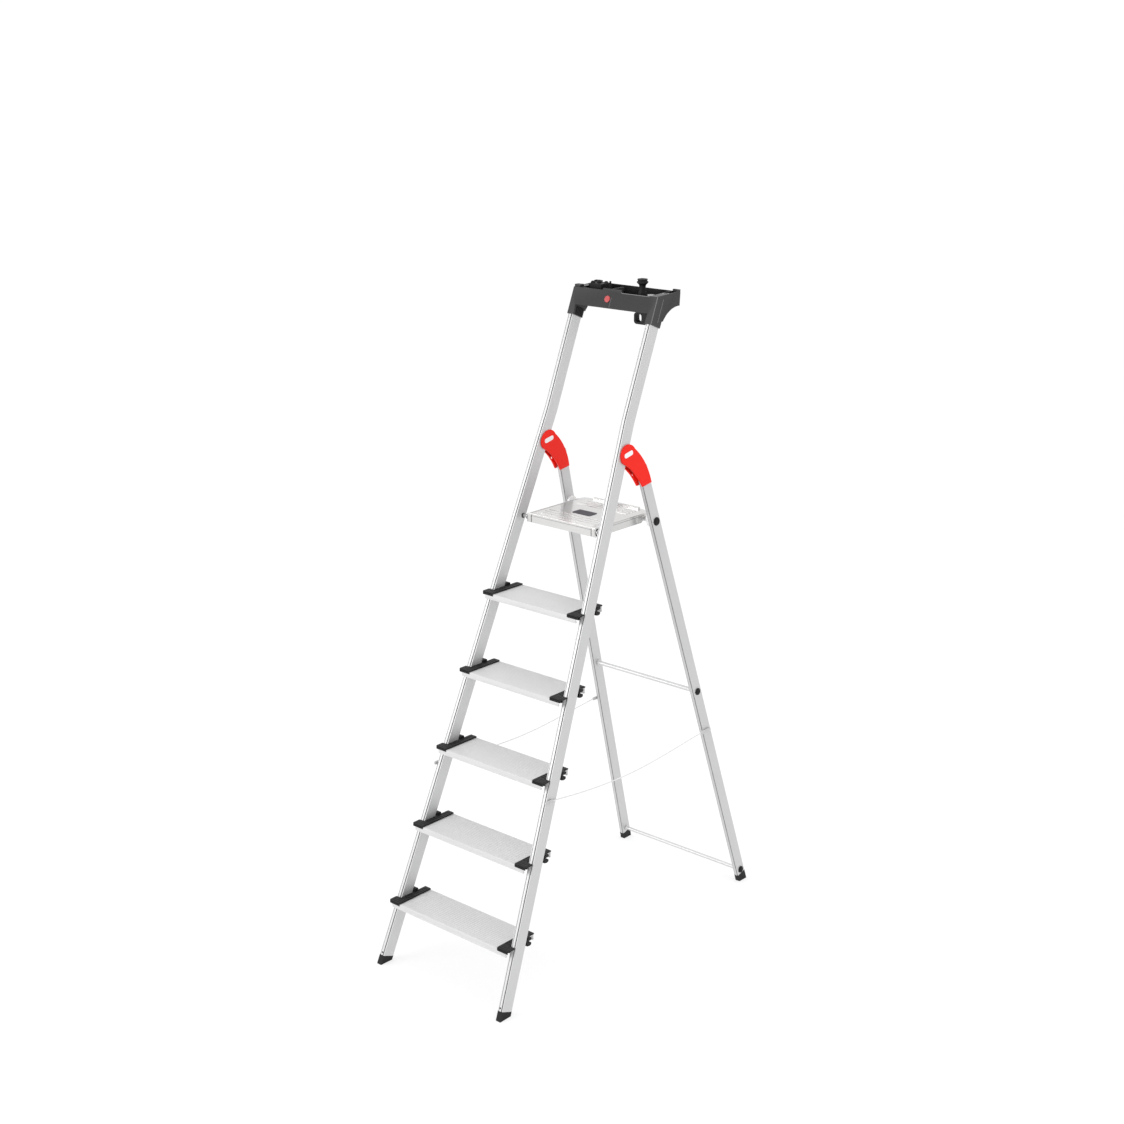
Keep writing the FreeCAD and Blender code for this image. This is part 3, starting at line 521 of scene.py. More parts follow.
class Clay:
    """A mesh being modelled, in millimetres."""

    def __init__(self) -> None:
        """Start with nothing."""
        self.shape = bmesh.new()

    @classmethod
    def from_node(cls, node: str) -> "Clay":
        """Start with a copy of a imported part, its flat faces made whole.

        Args:
            node: The part's name.

        Returns:
            The copy, ready for rounding.
        """
        clay = cls()
        clay.shape.from_mesh(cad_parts[node].data)
        clay.shape.transform(Matrix.Scale(1 / MM, 4))
        bmesh.ops.remove_doubles(clay.shape, verts=clay.shape.verts, dist=0.002)
        bmesh.ops.dissolve_limit(clay.shape, angle_limit=math.radians(1.0), verts=clay.shape.verts,
                                 edges=clay.shape.edges)
        return clay

    def _absorb(self, part: bmesh.types.BMesh, place: Matrix | None = None) -> None:
        """Add a part to this mesh.

        Args:
            part: The part, freed afterwards.
            place: Where it goes.
        """
        if place is not None:
            part.transform(place)
        bmesh.ops.recalc_face_normals(part, faces=part.faces)
        carrier = bpy.data.meshes.new("carrier")
        part.to_mesh(carrier)
        part.free()
        self.shape.from_mesh(carrier)
        bpy.data.meshes.remove(carrier)

    def rows(self, rings: Sequence[Sequence[Vector]], capped: bool = True) -> "Clay":
        """Skin closed rings of points, each with the same count.

        Args:
            rings: The rings in order.
            capped: Whether the first and last ring are closed with a face.

        Returns:
            This mesh.
        """
        part = bmesh.new()
        made = [[part.verts.new(spot) for spot in ring] for ring in rings]
        count = len(made[0])
        for low, high in zip(made, made[1:]):
            for k in range(count):
                part.faces.new((low[k], low[(k + 1) % count], high[(k + 1) % count], high[k]))
        if capped:
            part.faces.new(list(reversed(made[0])))
            part.faces.new(made[-1])
        self._absorb(part)
        return self

    def sweep(self, outline: Sequence[Point], stations: Sequence[Matrix]) -> "Clay":
        """Carry an outline through a row of frames.

        Args:
            outline: Points in each frame's XY plane.
            stations: The frames.

        Returns:
            This mesh.
        """
        return self.rows([[station @ Vector((x, y, 0.0)) for x, y in outline] for station in stations])

    def slab(self, outline: Sequence[Point], height: float, place: Matrix, soft: float = 0.0,
             steps: int = 2) -> "Clay":
        """An outline in XY, raised along +Z, with rounded rims.

        Args:
            outline: The outline's points.
            height: The height.
            place: Where it goes.
            soft: Radius of the rims.
            steps: Segments of the rims.

        Returns:
            This mesh.
        """
        part = bmesh.new()
        low = [part.verts.new((x, y, 0.0)) for x, y in outline]
        high = [part.verts.new((x, y, height)) for x, y in outline]
        count = len(low)
        rims = [part.faces.new(list(reversed(low))), part.faces.new(high)]
        for k in range(count):
            part.faces.new((low[k], low[(k + 1) % count], high[(k + 1) % count], high[k]))
        if soft > 0:
            edges = list({edge for face in rims for edge in face.edges})
            bmesh.ops.bevel(part, geom=edges, offset=soft, offset_type="OFFSET", segments=steps,
                            profile=0.5, affect="EDGES", clamp_overlap=True)
        self._absorb(part, place)
        return self

    def block(self, low: Spot, high: Spot, place: Matrix | None = None, soft: float = 0.6,
              corner: float | None = None) -> "Clay":
        """A block between two corners, rounded.

        Args:
            low: Lowest corner.
            high: Highest corner.
            place: Where it goes.
            soft: Radius of its level rims.
            corner: Radius of its upright corners, the same as soft if left out.

        Returns:
            This mesh.
        """
        radius = soft if corner is None else corner
        outline = rounded([(low[0], low[1], radius), (high[0], low[1], radius),
                           (high[0], high[1], radius), (low[0], high[1], radius)], 3)
        return self.slab(outline, high[2] - low[2], (place or Matrix()) @ at(0, 0, low[2]), soft)

    def lathe(self, profile: Sequence[Point], place: Matrix, around: int = 32) -> "Clay":
        """Turn a profile round +Z.

        Args:
            profile: (radius, height) points from one end to the other.
            place: Where it goes.
            around: Segments round the axis.

        Returns:
            This mesh.
        """
        rings = []
        for radius, height in profile:
            ring = []
            for k in range(around):
                angle = 2 * math.pi * k / around
                ring.append(place @ Vector((radius * math.cos(angle), radius * math.sin(angle), height)))
            rings.append(ring)
        return self.rows(rings)

    def tube(self, path: Sequence[Vector], radius: float, around: int = 12) -> "Clay":
        """A round tube along a path.

        Args:
            path: The points that it follows.
            radius: Its radius.
            around: Segments round it.

        Returns:
            This mesh.
        """
        rings = []
        side = Vector((1.0, 0.0, 0.0))
        for k, spot in enumerate(path):
            ahead = (path[min(k + 1, len(path) - 1)] - path[max(k - 1, 0)]).normalized()
            side = (side - ahead * side.dot(ahead)).normalized()
            up = ahead.cross(side)
            ring = []
            for step in range(around):
                angle = 2 * math.pi * step / around
                ring.append(spot + (side * math.cos(angle) + up * math.sin(angle)) * radius)
            rings.append(ring)
        return self.rows(rings)

    def round_edges(self, radius: float, test: EdgeTest, steps: int = 2) -> "Clay":
        """Round the edges that pass a test.

        Args:
            radius: The radius.
            test: Picks the edges.
            steps: Segments of the rounding.

        Returns:
            This mesh.
        """
        edges = [edge for edge in self.shape.edges if test(edge)]
        if edges:
            bmesh.ops.bevel(self.shape, geom=edges, offset=radius, offset_type="OFFSET", segments=steps,
                            profile=0.5, affect="EDGES", clamp_overlap=True)
        return self

    def fire(self, name: str, crease: float = 38.0) -> bpy.types.Object:
        """Turn the clay into an object, in metres.

        Args:
            name: The piece's name.
            crease: Edges sharper than this many degrees stay sharp.

        Returns:
            The object, linked to the scene.
        """
        self.shape.transform(Matrix.Scale(MM, 4))
        bmesh.ops.recalc_face_normals(self.shape, faces=self.shape.faces)
        mesh = bpy.data.meshes.new(name)
        self.shape.to_mesh(mesh)
        self.shape.free()
        mesh.shade_smooth()
        mesh.set_sharp_from_angle(angle=math.radians(crease))
        piece = bpy.data.objects.new(name, mesh)
        bpy.context.scene.collection.objects.link(piece)
        weighted = piece.modifiers.new("even_shading", "WEIGHTED_NORMAL")
        weighted.keep_sharp = True
        return piece


# ---------------------------------------------------------------------------
# The ladder's stance and finishes
# ---------------------------------------------------------------------------


@dataclass(frozen=True)
class Stance:
    """Where the leaning, splayed members stand."""

    lean_front: float = 22.05
    lean_rear: float = 16.9
    spread: float = 1085.0
    half_depth: float = 559.7
    half_top: float = 147.0
    half_floor: float = 238.8
    bend_height: float = 1521.0
    rail_width: float = 17.2
    rail_depth: float = 38.3
    leg_width: float = 15.2
    leg_depth: float = 33.0
    first_tread: float = 183.4
    pitch: float = 210.0
    treads: int = 5

    @property
    def splay(self) -> float:
        """How far a rail comes inwards per millimetre of height."""
        return (self.half_floor - self.half_top) / self.bend_height

    def outer_x(self, height: float) -> float:
        """Middle of the ladder to the outer rail face at a height."""
        return self.half_top + max(0.0, self.bend_height - height) * self.splay

    def centre_x(self, height: float) -> float:
        """Middle of the ladder to the centre plane of a rail at a height."""
        return self.outer_x(height) - self.rail_width / 2

    def rail_y(self, height: float) -> float:
        """Front plane of the rails at a height."""
        return height * math.tan(math.radians(self.lean_front)) - self.half_depth

    def leg_y(self, height: float) -> float:
        """Front plane of the rear legs at a height."""
        return self.spread - self.half_depth - height * math.tan(math.radians(self.lean_rear))

    def leg_middle_y(self, height: float) -> float:
        """Centre plane of the rear legs at a height."""
        return self.leg_y(height) + self.leg_depth / 2 / math.cos(math.radians(self.lean_rear))

    def front_plane(self) -> Matrix:
        """Frame of the rails' front plane: +Z up the lean, +Y to the rear."""
        return at(0, -self.half_depth, 0) @ Matrix.Rotation(-math.radians(self.lean_front), 4, "X")

    def rear_plane(self) -> Matrix:
        """Frame of the rear legs' front plane: +Z up the lean, +Y to the rear."""
        return at(0, self.spread - self.half_depth, 0) @ Matrix.Rotation(math.radians(self.lean_rear), 4, "X")

    def member_splay(self, lean: float) -> float:
        """Splay angle in a leaning plane, in radians."""
        return math.atan(self.splay * math.cos(math.radians(lean)))

    def leg_frame(self, side: Side) -> Matrix:
        """Frame of one rear leg, on its centre plane and front face."""
        tilt = Matrix.Rotation(-side.value * self.member_splay(self.lean_rear), 4, "Y")
        return self.rear_plane() @ at(side.value * self.centre_x(0.0), 0, 0) @ tilt

    def rail_frame(self, side: Side) -> Matrix:
        """Frame of the splayed part of one rail, on its centre plane and front face."""
        tilt = Matrix.Rotation(-side.value * self.member_splay(self.lean_front), 4, "Y")
        return self.front_plane() @ at(side.value * self.centre_x(0.0), 0, 0) @ tilt

    def tread_height(self, number: int) -> float:
        """Top of a tread, counted from 1; the platform is the one after the last tread."""
        return self.first_tread + (number - 1) * self.pitch


@dataclass(frozen=True)
class Finishes:
    """Every finish on the ladder."""

    rail: Finish = DrawnMetal("anodised_rail", (0.61, 0.61, 0.615), 0.42, Grain.RAIL)
    leg: Finish = DrawnMetal("anodised_leg", (0.60, 0.60, 0.605), 0.42, Grain.LEG)
    tread: Finish = DrawnMetal("ribbed_tread", (0.66, 0.66, 0.66), 0.45, Grain.ACROSS, 0.35)
    rod: Finish = DrawnMetal("drawn_rod", (0.66, 0.66, 0.665), 0.38, Grain.ACROSS, 0.6)
    deck: Finish = DrawnMetal("pressed_deck", (0.64, 0.635, 0.63), 0.20, Grain.ACROSS, 0.80, 0.05, 0.10)
    steel: Finish = DrawnMetal("turned_steel", (0.62, 0.62, 0.63), 0.28, Grain.ACROSS, 0.9)
    black: Finish = Moulded("black_moulding", (0.0035, 0.0035, 0.004), 0.50, worn=(0.06, 0.06, 0.06),
                            shine=0.22)
    rubber: Finish = Moulded("black_rubber", (0.007, 0.007, 0.0075), 0.70, 900.0, 0.35,
                             (0.06, 0.06, 0.06), 0.2)
    red: Finish = Moulded("red_moulding", (0.80, 0.0125, 0.0045), 0.46, 1500.0, 0.12, (0.86, 0.06, 0.04), 0.2,
                          0.0, 0.16)
    # The badge's pink edge colour is a painted highlight.
    badge: Finish = Moulded("red_enamel", (0.40, 0.010, 0.014), 0.22, 1500.0, 0.05, (0.8, 0.3, 0.3), 0.6, 0.6)
    tray: Finish = Moulded("tray_moulding", (0.0085, 0.0080, 0.0090), 0.42, 1200.0, 0.25, (0.12, 0.12, 0.12),
                           0.45, 0.0, 0.35)
    # Light grey for beads that paint the highlights on the tray edges and the seam.
    edge: Finish = Moulded("edge_highlight_paint", (0.17, 0.17, 0.175), 0.30, 1600.0, 0.05)
    # Dark grey strips in the grooves and in the deck's seam and fold lines: painted shade.
    gap: Finish = Moulded("groove_infill", (0.115, 0.115, 0.118), 0.75, 1200.0, 0.10, shine=0.1)
    plate: Finish = Moulded("pale_plate", (0.82, 0.82, 0.82), 0.35, 1600.0, 0.08, (0.9, 0.9, 0.9), 0.1, 0.2)
    label: Finish = Moulded("dark_label", (0.014, 0.0145, 0.016), 0.35, 1400.0, 0.10, (0.2, 0.2, 0.2), 0.2)
    grey: Finish = Moulded("grey_moulding", (0.52, 0.52, 0.52), 0.5)
    cord: Finish = Braided("white_braid", (0.80, 0.80, 0.80), 0.75)


# ---------------------------------------------------------------------------
# Sub-assemblies
# ---------------------------------------------------------------------------


@dataclass
class SubAssembly:
    """What every group of pieces shares: the stance, the finishes and the dressing of a piece."""

    stance: Stance = field(default_factory=Stance)
    finishes: Finishes = field(default_factory=Finishes)

    def dress(self, piece: bpy.types.Object, finish: Finish, slot: Slot, body: Body,
              stands_for: Iterable[str] = ()) -> bpy.types.Object:
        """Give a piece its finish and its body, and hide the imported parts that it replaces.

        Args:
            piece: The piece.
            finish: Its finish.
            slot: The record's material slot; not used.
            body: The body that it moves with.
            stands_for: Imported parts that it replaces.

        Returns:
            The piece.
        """
        piece.data.materials.clear()
        piece.data.materials.append(finish.material())
        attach(piece, body.value)
        replaced = list(stands_for)
        if replaced:
            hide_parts(*replaced)
        LOG.info("%s: %d faces on %s", piece.name, len(piece.data.polygons), body.value)
        return piece

    def recolour(self, node: str, finish: Finish) -> None:
        """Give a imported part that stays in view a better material.

        Args:
            node: The part's name.
            finish: Its finish.
        """
        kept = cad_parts[node]
        for slot in kept.material_slots:
            slot.material = finish.material()
        LOG.info("%s: kept, %s", node, finish.name)


@dataclass
class Extrusions(SubAssembly):
    """The two rails and the two rear legs: a proud nose between two grooves, with dark strips of painted
    shade in the grooves.
    """

    foot_height: float = 28.0
    rail_length: float = 1963.0
    leg_length: float = 1440.0
    bend_radius: float = 600.0
    bend_steps: int = 10
    corner: float = 2.6
    groove_at: float = 4.6
    rail_groove: float = 2.3
    leg_groove: float = 1.6
    groove_depth: float = 1.5
    shade_strip_sunk: float = 0.35
    nose: float = 1.5

    def section(self, width: float, depth: float, groove: float) -> list[Point]:
        """Section of an extrusion, front face at y = 0.

        Args:
            width: Across.
            depth: Front to rear.
            groove: Width of the grooves.

        Returns:
            The closed outline.
        """
        half = width / 2
        near, far = self.groove_at - groove / 2, self.groove_at + groove / 2
        low = self.groove_depth
        left = rounded([(-half, self.corner, 0.0), (-half, 0.0, self.corner), (-far, 0.0, 0.25),
                        (-far, low, 0.2),
                        (-near, low, 0.2), (-near, -self.nose, 0.5), (0.0, -self.nose, 0.0)], 3)[:-1]
        ring = left + [(-across, up) for across, up in reversed(left)]
        return ring + [(-across, depth - up) for across, up in ring]

    def groove_shade_outlines(self, depth: float, groove: float) -> list[list[Point]]:
        """Sections of the dark strips that lie in the four grooves as painted shade.

        Args:
            depth: Front to rear of the extrusion.
            groove: Width of the grooves.

        Returns:
            Four closed outlines.
        """
        half, low = groove / 2 - 0.05, self.groove_depth - 0.1
        outlines = []
        for side in Side:
            middle = side.value * self.groove_at
            for near, far in ((self.shade_strip_sunk, low), (depth - low, depth - self.shade_strip_sunk)):
                outlines.append([(middle - half, near), (middle + half, near), (middle + half, far),
                                 (middle - half, far)])
        return outlines

    def rail_path(self, side: Side) -> list[Matrix]:
        """Frames along a rail: splayed, through the bend, then upright.

        Args:
            side: Left or right.

        Returns:
            The frames from the foot to the top.
        """
        stance = self.stance
        splay = stance.member_splay(stance.lean_front)
        bend = stance.bend_height / math.cos(math.radians(stance.lean_front)) / math.cos(splay)
        reach = self.bend_radius * math.tan(splay / 2)
        foot = Vector((stance.centre_x(0.0), 0.0))
        inwards = Vector((-math.sin(splay), math.cos(splay)))
        corner = foot + inwards * bend
        arc_start = corner - inwards * reach
        centre = arc_start + Vector((math.cos(splay), math.sin(splay))) * self.bend_radius
        spots = [(foot + inwards * self.foot_height, splay)]
        for step in range(self.bend_steps + 1):
            turn = splay * (1 - step / self.bend_steps)
            spots.append((centre - Vector((math.cos(turn), math.sin(turn))) * self.bend_radius, turn))
        top = corner + Vector((0.0, 1.0)) * (self.rail_length - bend)
        spots.append((top, 0.0))
        plane = stance.front_plane()
        return [plane @ at(side.value * spot.x, 0, spot.y) @ Matrix.Rotation(-side.value * turn, 4, "Y")
                for spot, turn in spots]

    def member(self, node: str, size: Point, groove: float, path: list[Matrix], finish: Finish,
               body: Body) -> None:
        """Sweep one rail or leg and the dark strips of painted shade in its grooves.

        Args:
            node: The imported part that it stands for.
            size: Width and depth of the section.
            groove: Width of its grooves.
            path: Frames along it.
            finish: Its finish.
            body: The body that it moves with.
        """
        skin = Clay().sweep(self.section(*size, groove), path)
        self.dress(skin.fire(f"{node}_skin"), finish, Slot.EXTRUSION, body, [node])
        # Dark strips in the grooves are painted shade.
        strips = Clay()
        for outline in self.groove_shade_outlines(size[1], groove):
            strips.sweep(outline, path)
        self.dress(strips.fire(f"{node}_infill"), self.finishes.gap, Slot.BLACK, body)

    def build(self) -> None:
        """Sweep the rails and the legs."""
        stance = self.stance
        for side in Side:
            self.member(f"rail_{side.word}", (stance.rail_width, stance.rail_depth), self.rail_groove,
                        self.rail_path(side), self.finishes.rail, Body.FRAME)
            frame_of_leg = stance.leg_frame(side)
            ends = [frame_of_leg @ at(0, 0, height) for height in (self.foot_height - 6.0, self.leg_length)]
            self.member(f"rear_leg_{side.word}", (stance.leg_width, stance.leg_depth), self.leg_groove, ends,
                        self.finishes.leg, Body.REAR)


@dataclass
class Feet(SubAssembly):
    """Four rubber feet with moulded grip lines, and the screws that hold the front pair."""

    soft: float = 1.1
    line_heights: tuple[float, ...] = (4.0, 8.0, 12.0)

    def grip(self, clay: Clay, place: Matrix, width: float, depth: float, lean: float) -> None:
        """Add level raised lines round the lower part of a foot.

        Args:
            clay: The foot.
            place: Frame of the rail or leg.
            width: Width of the section.
            depth: Depth of the section.
            lean: Lean of the member in degrees.
        """
        level = Matrix.Rotation(math.radians(lean), 4, "X")
        long = depth / math.cos(math.radians(lean))
        for height in self.line_heights:
            flat = place @ at(0, 0, height / math.cos(math.radians(lean))) @ level
            clay.block((-width / 2 - 0.25, -0.35, -0.5), (width / 2 + 0.25, long + 0.35, 0.5), flat, 0.3, 1.4)

    def build(self) -> None:
        """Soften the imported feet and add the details."""
        stance = self.stance
        for side in Side:
            kinds = (("front", stance.rail_frame(side), stance.rail_width, stance.rail_depth,
                      stance.lean_front, Body.FRAME),
                     ("rear", stance.leg_frame(side), stance.leg_width, stance.leg_depth,
                      -stance.lean_rear, Body.REAR))
            for kind, place, width, depth, lean, body in kinds:
                node = f"{kind}_foot_{side.word}"
                clay = Clay.from_node(node).round_edges(self.soft, sharp_edges(), 3)
                self.grip(clay, place, width, depth, lean)
                self.dress(clay.fire(f"{node}_rubber"), self.finishes.rubber, Slot.BLACK, body, [node])
            screw = stance.rail_frame(side) @ at(-side.value * 1.0, -1.0, 36.0) @ turn_to((0, -1, 0))
            head = Clay().lathe([(0.4, 0.0), (2.5, 0.0), (2.5, 0.6), (1.9, 1.2), (0.4, 1.3)], screw, 20)
            self.dress(head.fire(f"foot_screw_{side.word}"), self.finishes.black, Slot.BLACK, Body.FRAME)


@dataclass
class Treads(SubAssembly):
    """Five ribbed treads whose noses span both rails."""

    front: float = 29.0
    back: float = 94.0
    plate: float = 2.4
    lip: float = 17.0
    rib_pitch: float = 7.5
    rib_height: float = 0.6
    gap: float = 3.8
    nose_inset: float = 10.2
    webs: Point = (62.0, 24.0)
    web_drop: float = 9.0

    def outline(self, whole: bool) -> list[Point]:
        """Side view of a tread.

        Args:
            whole: The full depth, or only the nose in front of the rails.

        Returns:
            Closed outline, (rearwards, up).
        """
        front = -self.front
        top = [(front, 0.0, 2.2)]
        stop = self.back if whole else -3.5
        start = front + 4.0
        while start + 5.0 < stop:
            top += [(start, 0.0, 0.0), (start + 0.7, self.rib_height, 0.3),
                    (start + 3.1, self.rib_height, 0.3), (start + 3.8, 0.0, 0.0)]
            start += self.rib_pitch
        lip, plate = self.lip, self.plate
        if whole:
            back = self.back
            rear = [(back, 0.0, 1.6), (back, -lip, 0.8), (back - 4.5, -lip, 0.6),
                    (back - 4.5, -lip + 2, 0.4), (back - 2, -lip + 2, 0.4), (back - 2, -plate, 0.8)]
            for web in self.webs:
                rear += [(web + 1, -plate, 0.8), (web + 1, -self.web_drop, 0.4),
                         (web - 1, -self.web_drop, 0.4), (web - 1, -plate, 0.8)]
        else:
            rear = [(stop, 0.0, 0.5), (stop, -plate, 0.5)]
        roll = [(front + 2.2, -plate, 0.8), (front + 2.2, -lip + 5.0, 0.6), (front + 5.0, -lip + 5.0, 0.8),
                (front + 5.0, -lip, 1.6), (front, -lip, 1.2), (front, -lip + 2.4, 0.5),
                (front + 0.9, -lip + 3.2, 0.3), (front + 0.9, -lip + 4.0, 0.3),
                (front + 0.1, -lip + 4.8, 0.5)]
        return rounded(top + rear + roll, 3)

    def build(self) -> None:
        """Extrude each tread in three lengths: two noses and the body between the rails."""
        stance = self.stance
        for number in range(1, stance.treads + 1):
            height = stance.tread_height(number)
            half = stance.outer_x(height) - self.nose_inset
            inner = stance.outer_x(height) - stance.rail_width - self.gap
            clay = Clay()
            lengths = ((-half, -inner, False), (-inner, inner, True), (inner, half, False))
            for start, end, whole in lengths:
                view = side_view(start, stance.rail_y(height), height)
                clay.slab(self.outline(whole), end - start, view, 0.0)
            self.dress(clay.fire(f"tread_{number}_plate", 30.0), self.finishes.tread, Slot.TREAD, Body.FRAME,
                       [f"tread_{number}"])


@dataclass
class TreadCaps(SubAssembly):
    """Black end caps over the tread ends, with a clamp round the rear of the rail."""

    reach: float = 42.0
    front: float = 30.0
    back: float = 94.0
    plate: float = 2.8
    lip: float = 6.5
    gap: float = 1.3
    ribs: int = 9
    front_pads: int = 4

    def cap(self, number: int, side: Side) -> Clay:
        """Model one cap.

        Args:
            number: The tread.
            side: Left or right.

        Returns:
            The cap.
        """
        stance = self.stance
        height = stance.tread_height(number)
        outer, wide = stance.outer_x(height), stance.rail_width
        mirror = Matrix.Scale(-1, 4, (1, 0, 0)) if side is Side.LEFT else Matrix()
        place = mirror @ at(outer, stance.rail_y(height), height + 0.75)
        rail = -wide - self.gap
        clay = Clay()
        plan = rounded([(-self.reach, -self.front, 5.0), (-0.5, -self.front, 5.0), (-0.5, -2.6, 1.0),
                        (rail, -2.6, 0.5), (rail, self.back, 1.5), (-self.reach, self.back, 3.0)], 5)
        clay.slab(plan, self.plate, place, 0.9, 3)
        wrap = rounded([(-self.front, self.plate - 0.4, 1.6), (-self.front, -self.lip, 1.0),
                        (-self.front + 2.2, -self.lip, 1.0), (-self.front + 2.4, -1.0, 1.5),
                        (-self.front + 6.0, 0.4, 0.0), (-self.front + 6.0, self.plate - 0.4, 0.0)], 4)
        sideways = side_view(-self.reach + 1.6)
        clay.slab(wrap, self.reach - 4.6, place @ sideways, 0.9)
        kerb = rounded([(-self.reach + 0.6, 2.0, 1.0), (-self.reach + 3.6, 2.0, 1.0),
                        (-self.reach + 3.6, self.back - 3, 1.0), (-self.reach + 0.6, self.back - 3, 1.0)], 3)
        clay.slab(kerb, 1.0, place @ at(0, 0, self.plate - 0.4), 0.4)
        step = (self.back - 6.0) / self.ribs
        for k in range(self.ribs):
            y = 3.0 + k * step
            clay.block((-self.reach + 5.5, y, 0.0), (rail - 1.0, y + 2.6, 1.5),
                       place @ at(0, 0, self.plate - 0.6), 0.5)
        for k in range(self.front_pads):
            x = -self.reach + 5.0 + 9.0 * k
            clay.block((x, -self.front + 4.0, 0.0), (x + 4.0, -7.0, 0.9),
                       place @ at(0, 0, self.plate - 0.3), 0.4)
        flange = rounded([(-9.4, -16.0, 4.0), (36.0, -22.0, 3.0), (53.0, -18.0, 4.0), (55.0, 1.0, 1.0),
                          (-9.4, 1.0, 1.0)], 4)
        upright = side_view(rail - 2.0)
        clay.slab(flange, 2.0, place @ upright, 0.4)
        clamp = rounded([(46.5, -12.5, 1.0), (54.0, -14.2, 2.0), (63.6, -13.6, 4.0), (64.0, -5.6, 3.0),
                         (52.0, -4.4, 0.8), (52.0, 0.6, 0.8), (65.0, 1.2, 3.0), (65.2, 9.4, 4.0),
                         (54.0, 9.6, 4.0), (46.5, 5.0, 1.0)], 5)
        clay.slab(clamp, wide + 0.6, place @ at(0.9, 0, 0) @ upright, 1.2, 3)
        return clay

    def build(self) -> None:
        """Model all ten caps."""
        for number in range(1, self.stance.treads + 1):
            for side in Side:
                name = f"tread_cap_{number}_{side.word}"
                piece = self.cap(number, side).fire(f"{name}_moulding")
                self.dress(piece, self.finishes.black, Slot.BLACK, Body.FRAME, [name])


@dataclass
class Hinges(SubAssembly):
    """Two red hinge shells with a bolt and a plain pale plate."""

    pivot_height: float = 1425.0
    setback: float = 26.0
    width: float = 26.4
    crown: float = 2.4
    plate_size: tuple[float, float] = (36.0, 13.0)
    plate_tilt: float = 12.0
    plate_setback: float = 13.0
    plate_sunk: float = 0.4

    def place(self, side: Side) -> Matrix:
        """Frame of a hinge: the pivot, with Z up the splay."""
        stance = self.stance
        y = stance.rail_y(self.pivot_height) + self.setback
        tilt = Matrix.Rotation(-side.value * math.atan(stance.splay), 4, "Y")
        return at(side.value * stance.centre_x(self.pivot_height), y, self.pivot_height) @ tilt

    def build(self) -> None:
        """Round the shells and add the plates."""
        for side in Side:
            place = self.place(side)
            back = place.inverted()
            half = self.width / 2

            def on_cheek(edge: bmesh.types.BMEdge) -> bool:
                """True for the long outline edges of the two outer faces."""
                spots = [back @ vert.co for vert in edge.verts]
                flush = all(abs(abs(spot.x) - half) < 0.05 for spot in spots)
                return flush and edge.calc_face_angle(0.0) > 1.2

            clay = Clay.from_node(f"hinge_shell_{side.word}")
            clay.round_edges(self.crown, on_cheek, 4)
            clay.round_edges(0.35, sharp_edges(40.0), 2)
            self.dress(clay.fire(f"hinge_shell_{side.word}_moulding"), self.finishes.red, Slot.RED, Body.REAR,
                       [f"hinge_shell_{side.word}"])
            plates = Clay()
            long, tall = self.plate_size
            for face in (-1, 1):
                tilt = Matrix.Rotation(math.radians(self.plate_tilt), 4, "X")
                upright = side_view(face * (half - self.plate_sunk), self.plate_setback, 0.0, face)
                corner = tall / 2 - 0.2
                view = rounded([(-long / 2, -tall / 2, corner), (long / 2, -tall / 2, corner),
                                (long / 2, tall / 2, corner), (-long / 2, tall / 2, corner)], 6)
                plates.slab(view, 1.3, place @ tilt @ upright, 0.4)
            self.dress(plates.fire(f"hinge_plate_{side.word}_pale"), self.finishes.plate, Slot.PLATE,
                       Body.REAR, [f"hinge_plate_{side.word}"])
            self.recolour(f"hinge_bolt_{side.word}", self.finishes.steel)


@dataclass
class Rods(SubAssembly):
    """The platform rod and the two braces between the rear legs, with their end caps."""

    rods: tuple[tuple[str, str, float, float, float], ...] = (
        ("platform_rod", "platform_rod_caps", 1217.0, 6.0, 12.0),
        ("upper_brace", "upper_brace_caps", 671.5, 6.5, 10.5),
        ("lower_brace", "lower_brace_caps", 38.0, 5.75, 10.5),
    )

    def build(self) -> None:
        """Turn the rods and their caps."""
        stance = self.stance
        across = Matrix.Rotation(math.pi / 2, 4, "Y")
        for rod, caps, height, radius, cap_radius in self.rods:
            reach = stance.centre_x(height) + stance.leg_width / 2 - 1.0
            inner = stance.centre_x(height) - stance.leg_width / 2
            y = stance.leg_middle_y(height)
            middle = at(0, y, height) @ across
            collar = radius + 2.4
            profile = [(radius * 0.3, -reach), (radius, -reach), (radius, -inner - 0.2),
                       (collar, -inner - 0.1), (collar, -inner + 4.4), (radius + 0.6, -inner + 5.2),
                       (radius, -inner + 6.0)]
            profile += [(radial, -along) for radial, along in reversed(profile)]
            self.dress(Clay().lathe(profile, middle, 32).fire(f"{rod}_tube"), self.finishes.rod, Slot.ROD,
                       Body.REAR, [rod])
            clay = Clay()
            lean = math.radians(stance.lean_rear)
            up = height / math.cos(lean) / math.cos(stance.member_splay(stance.lean_rear))
            for side in Side:
                out = stance.leg_frame(side) @ at(side.value * stance.leg_width / 2, stance.leg_depth / 2,
                                                  up - stance.leg_depth / 2 * math.tan(lean))
                dome = [(1.0, 0.0), (cap_radius, 0.0), (cap_radius, 1.6), (cap_radius - 0.5, 2.6),
                        (cap_radius - 1.8, 3.7), (cap_radius - 3.6, 4.5), (cap_radius - 5.2, 4.9),
                        (cap_radius - 5.8, 4.2), (1.0, 4.2)]
                clay.lathe(dome, out @ turn_to((side.value, 0, 0)), 40)
            self.dress(clay.fire(f"{caps}_domes"), self.finishes.black, Slot.BLACK, Body.REAR, [caps])


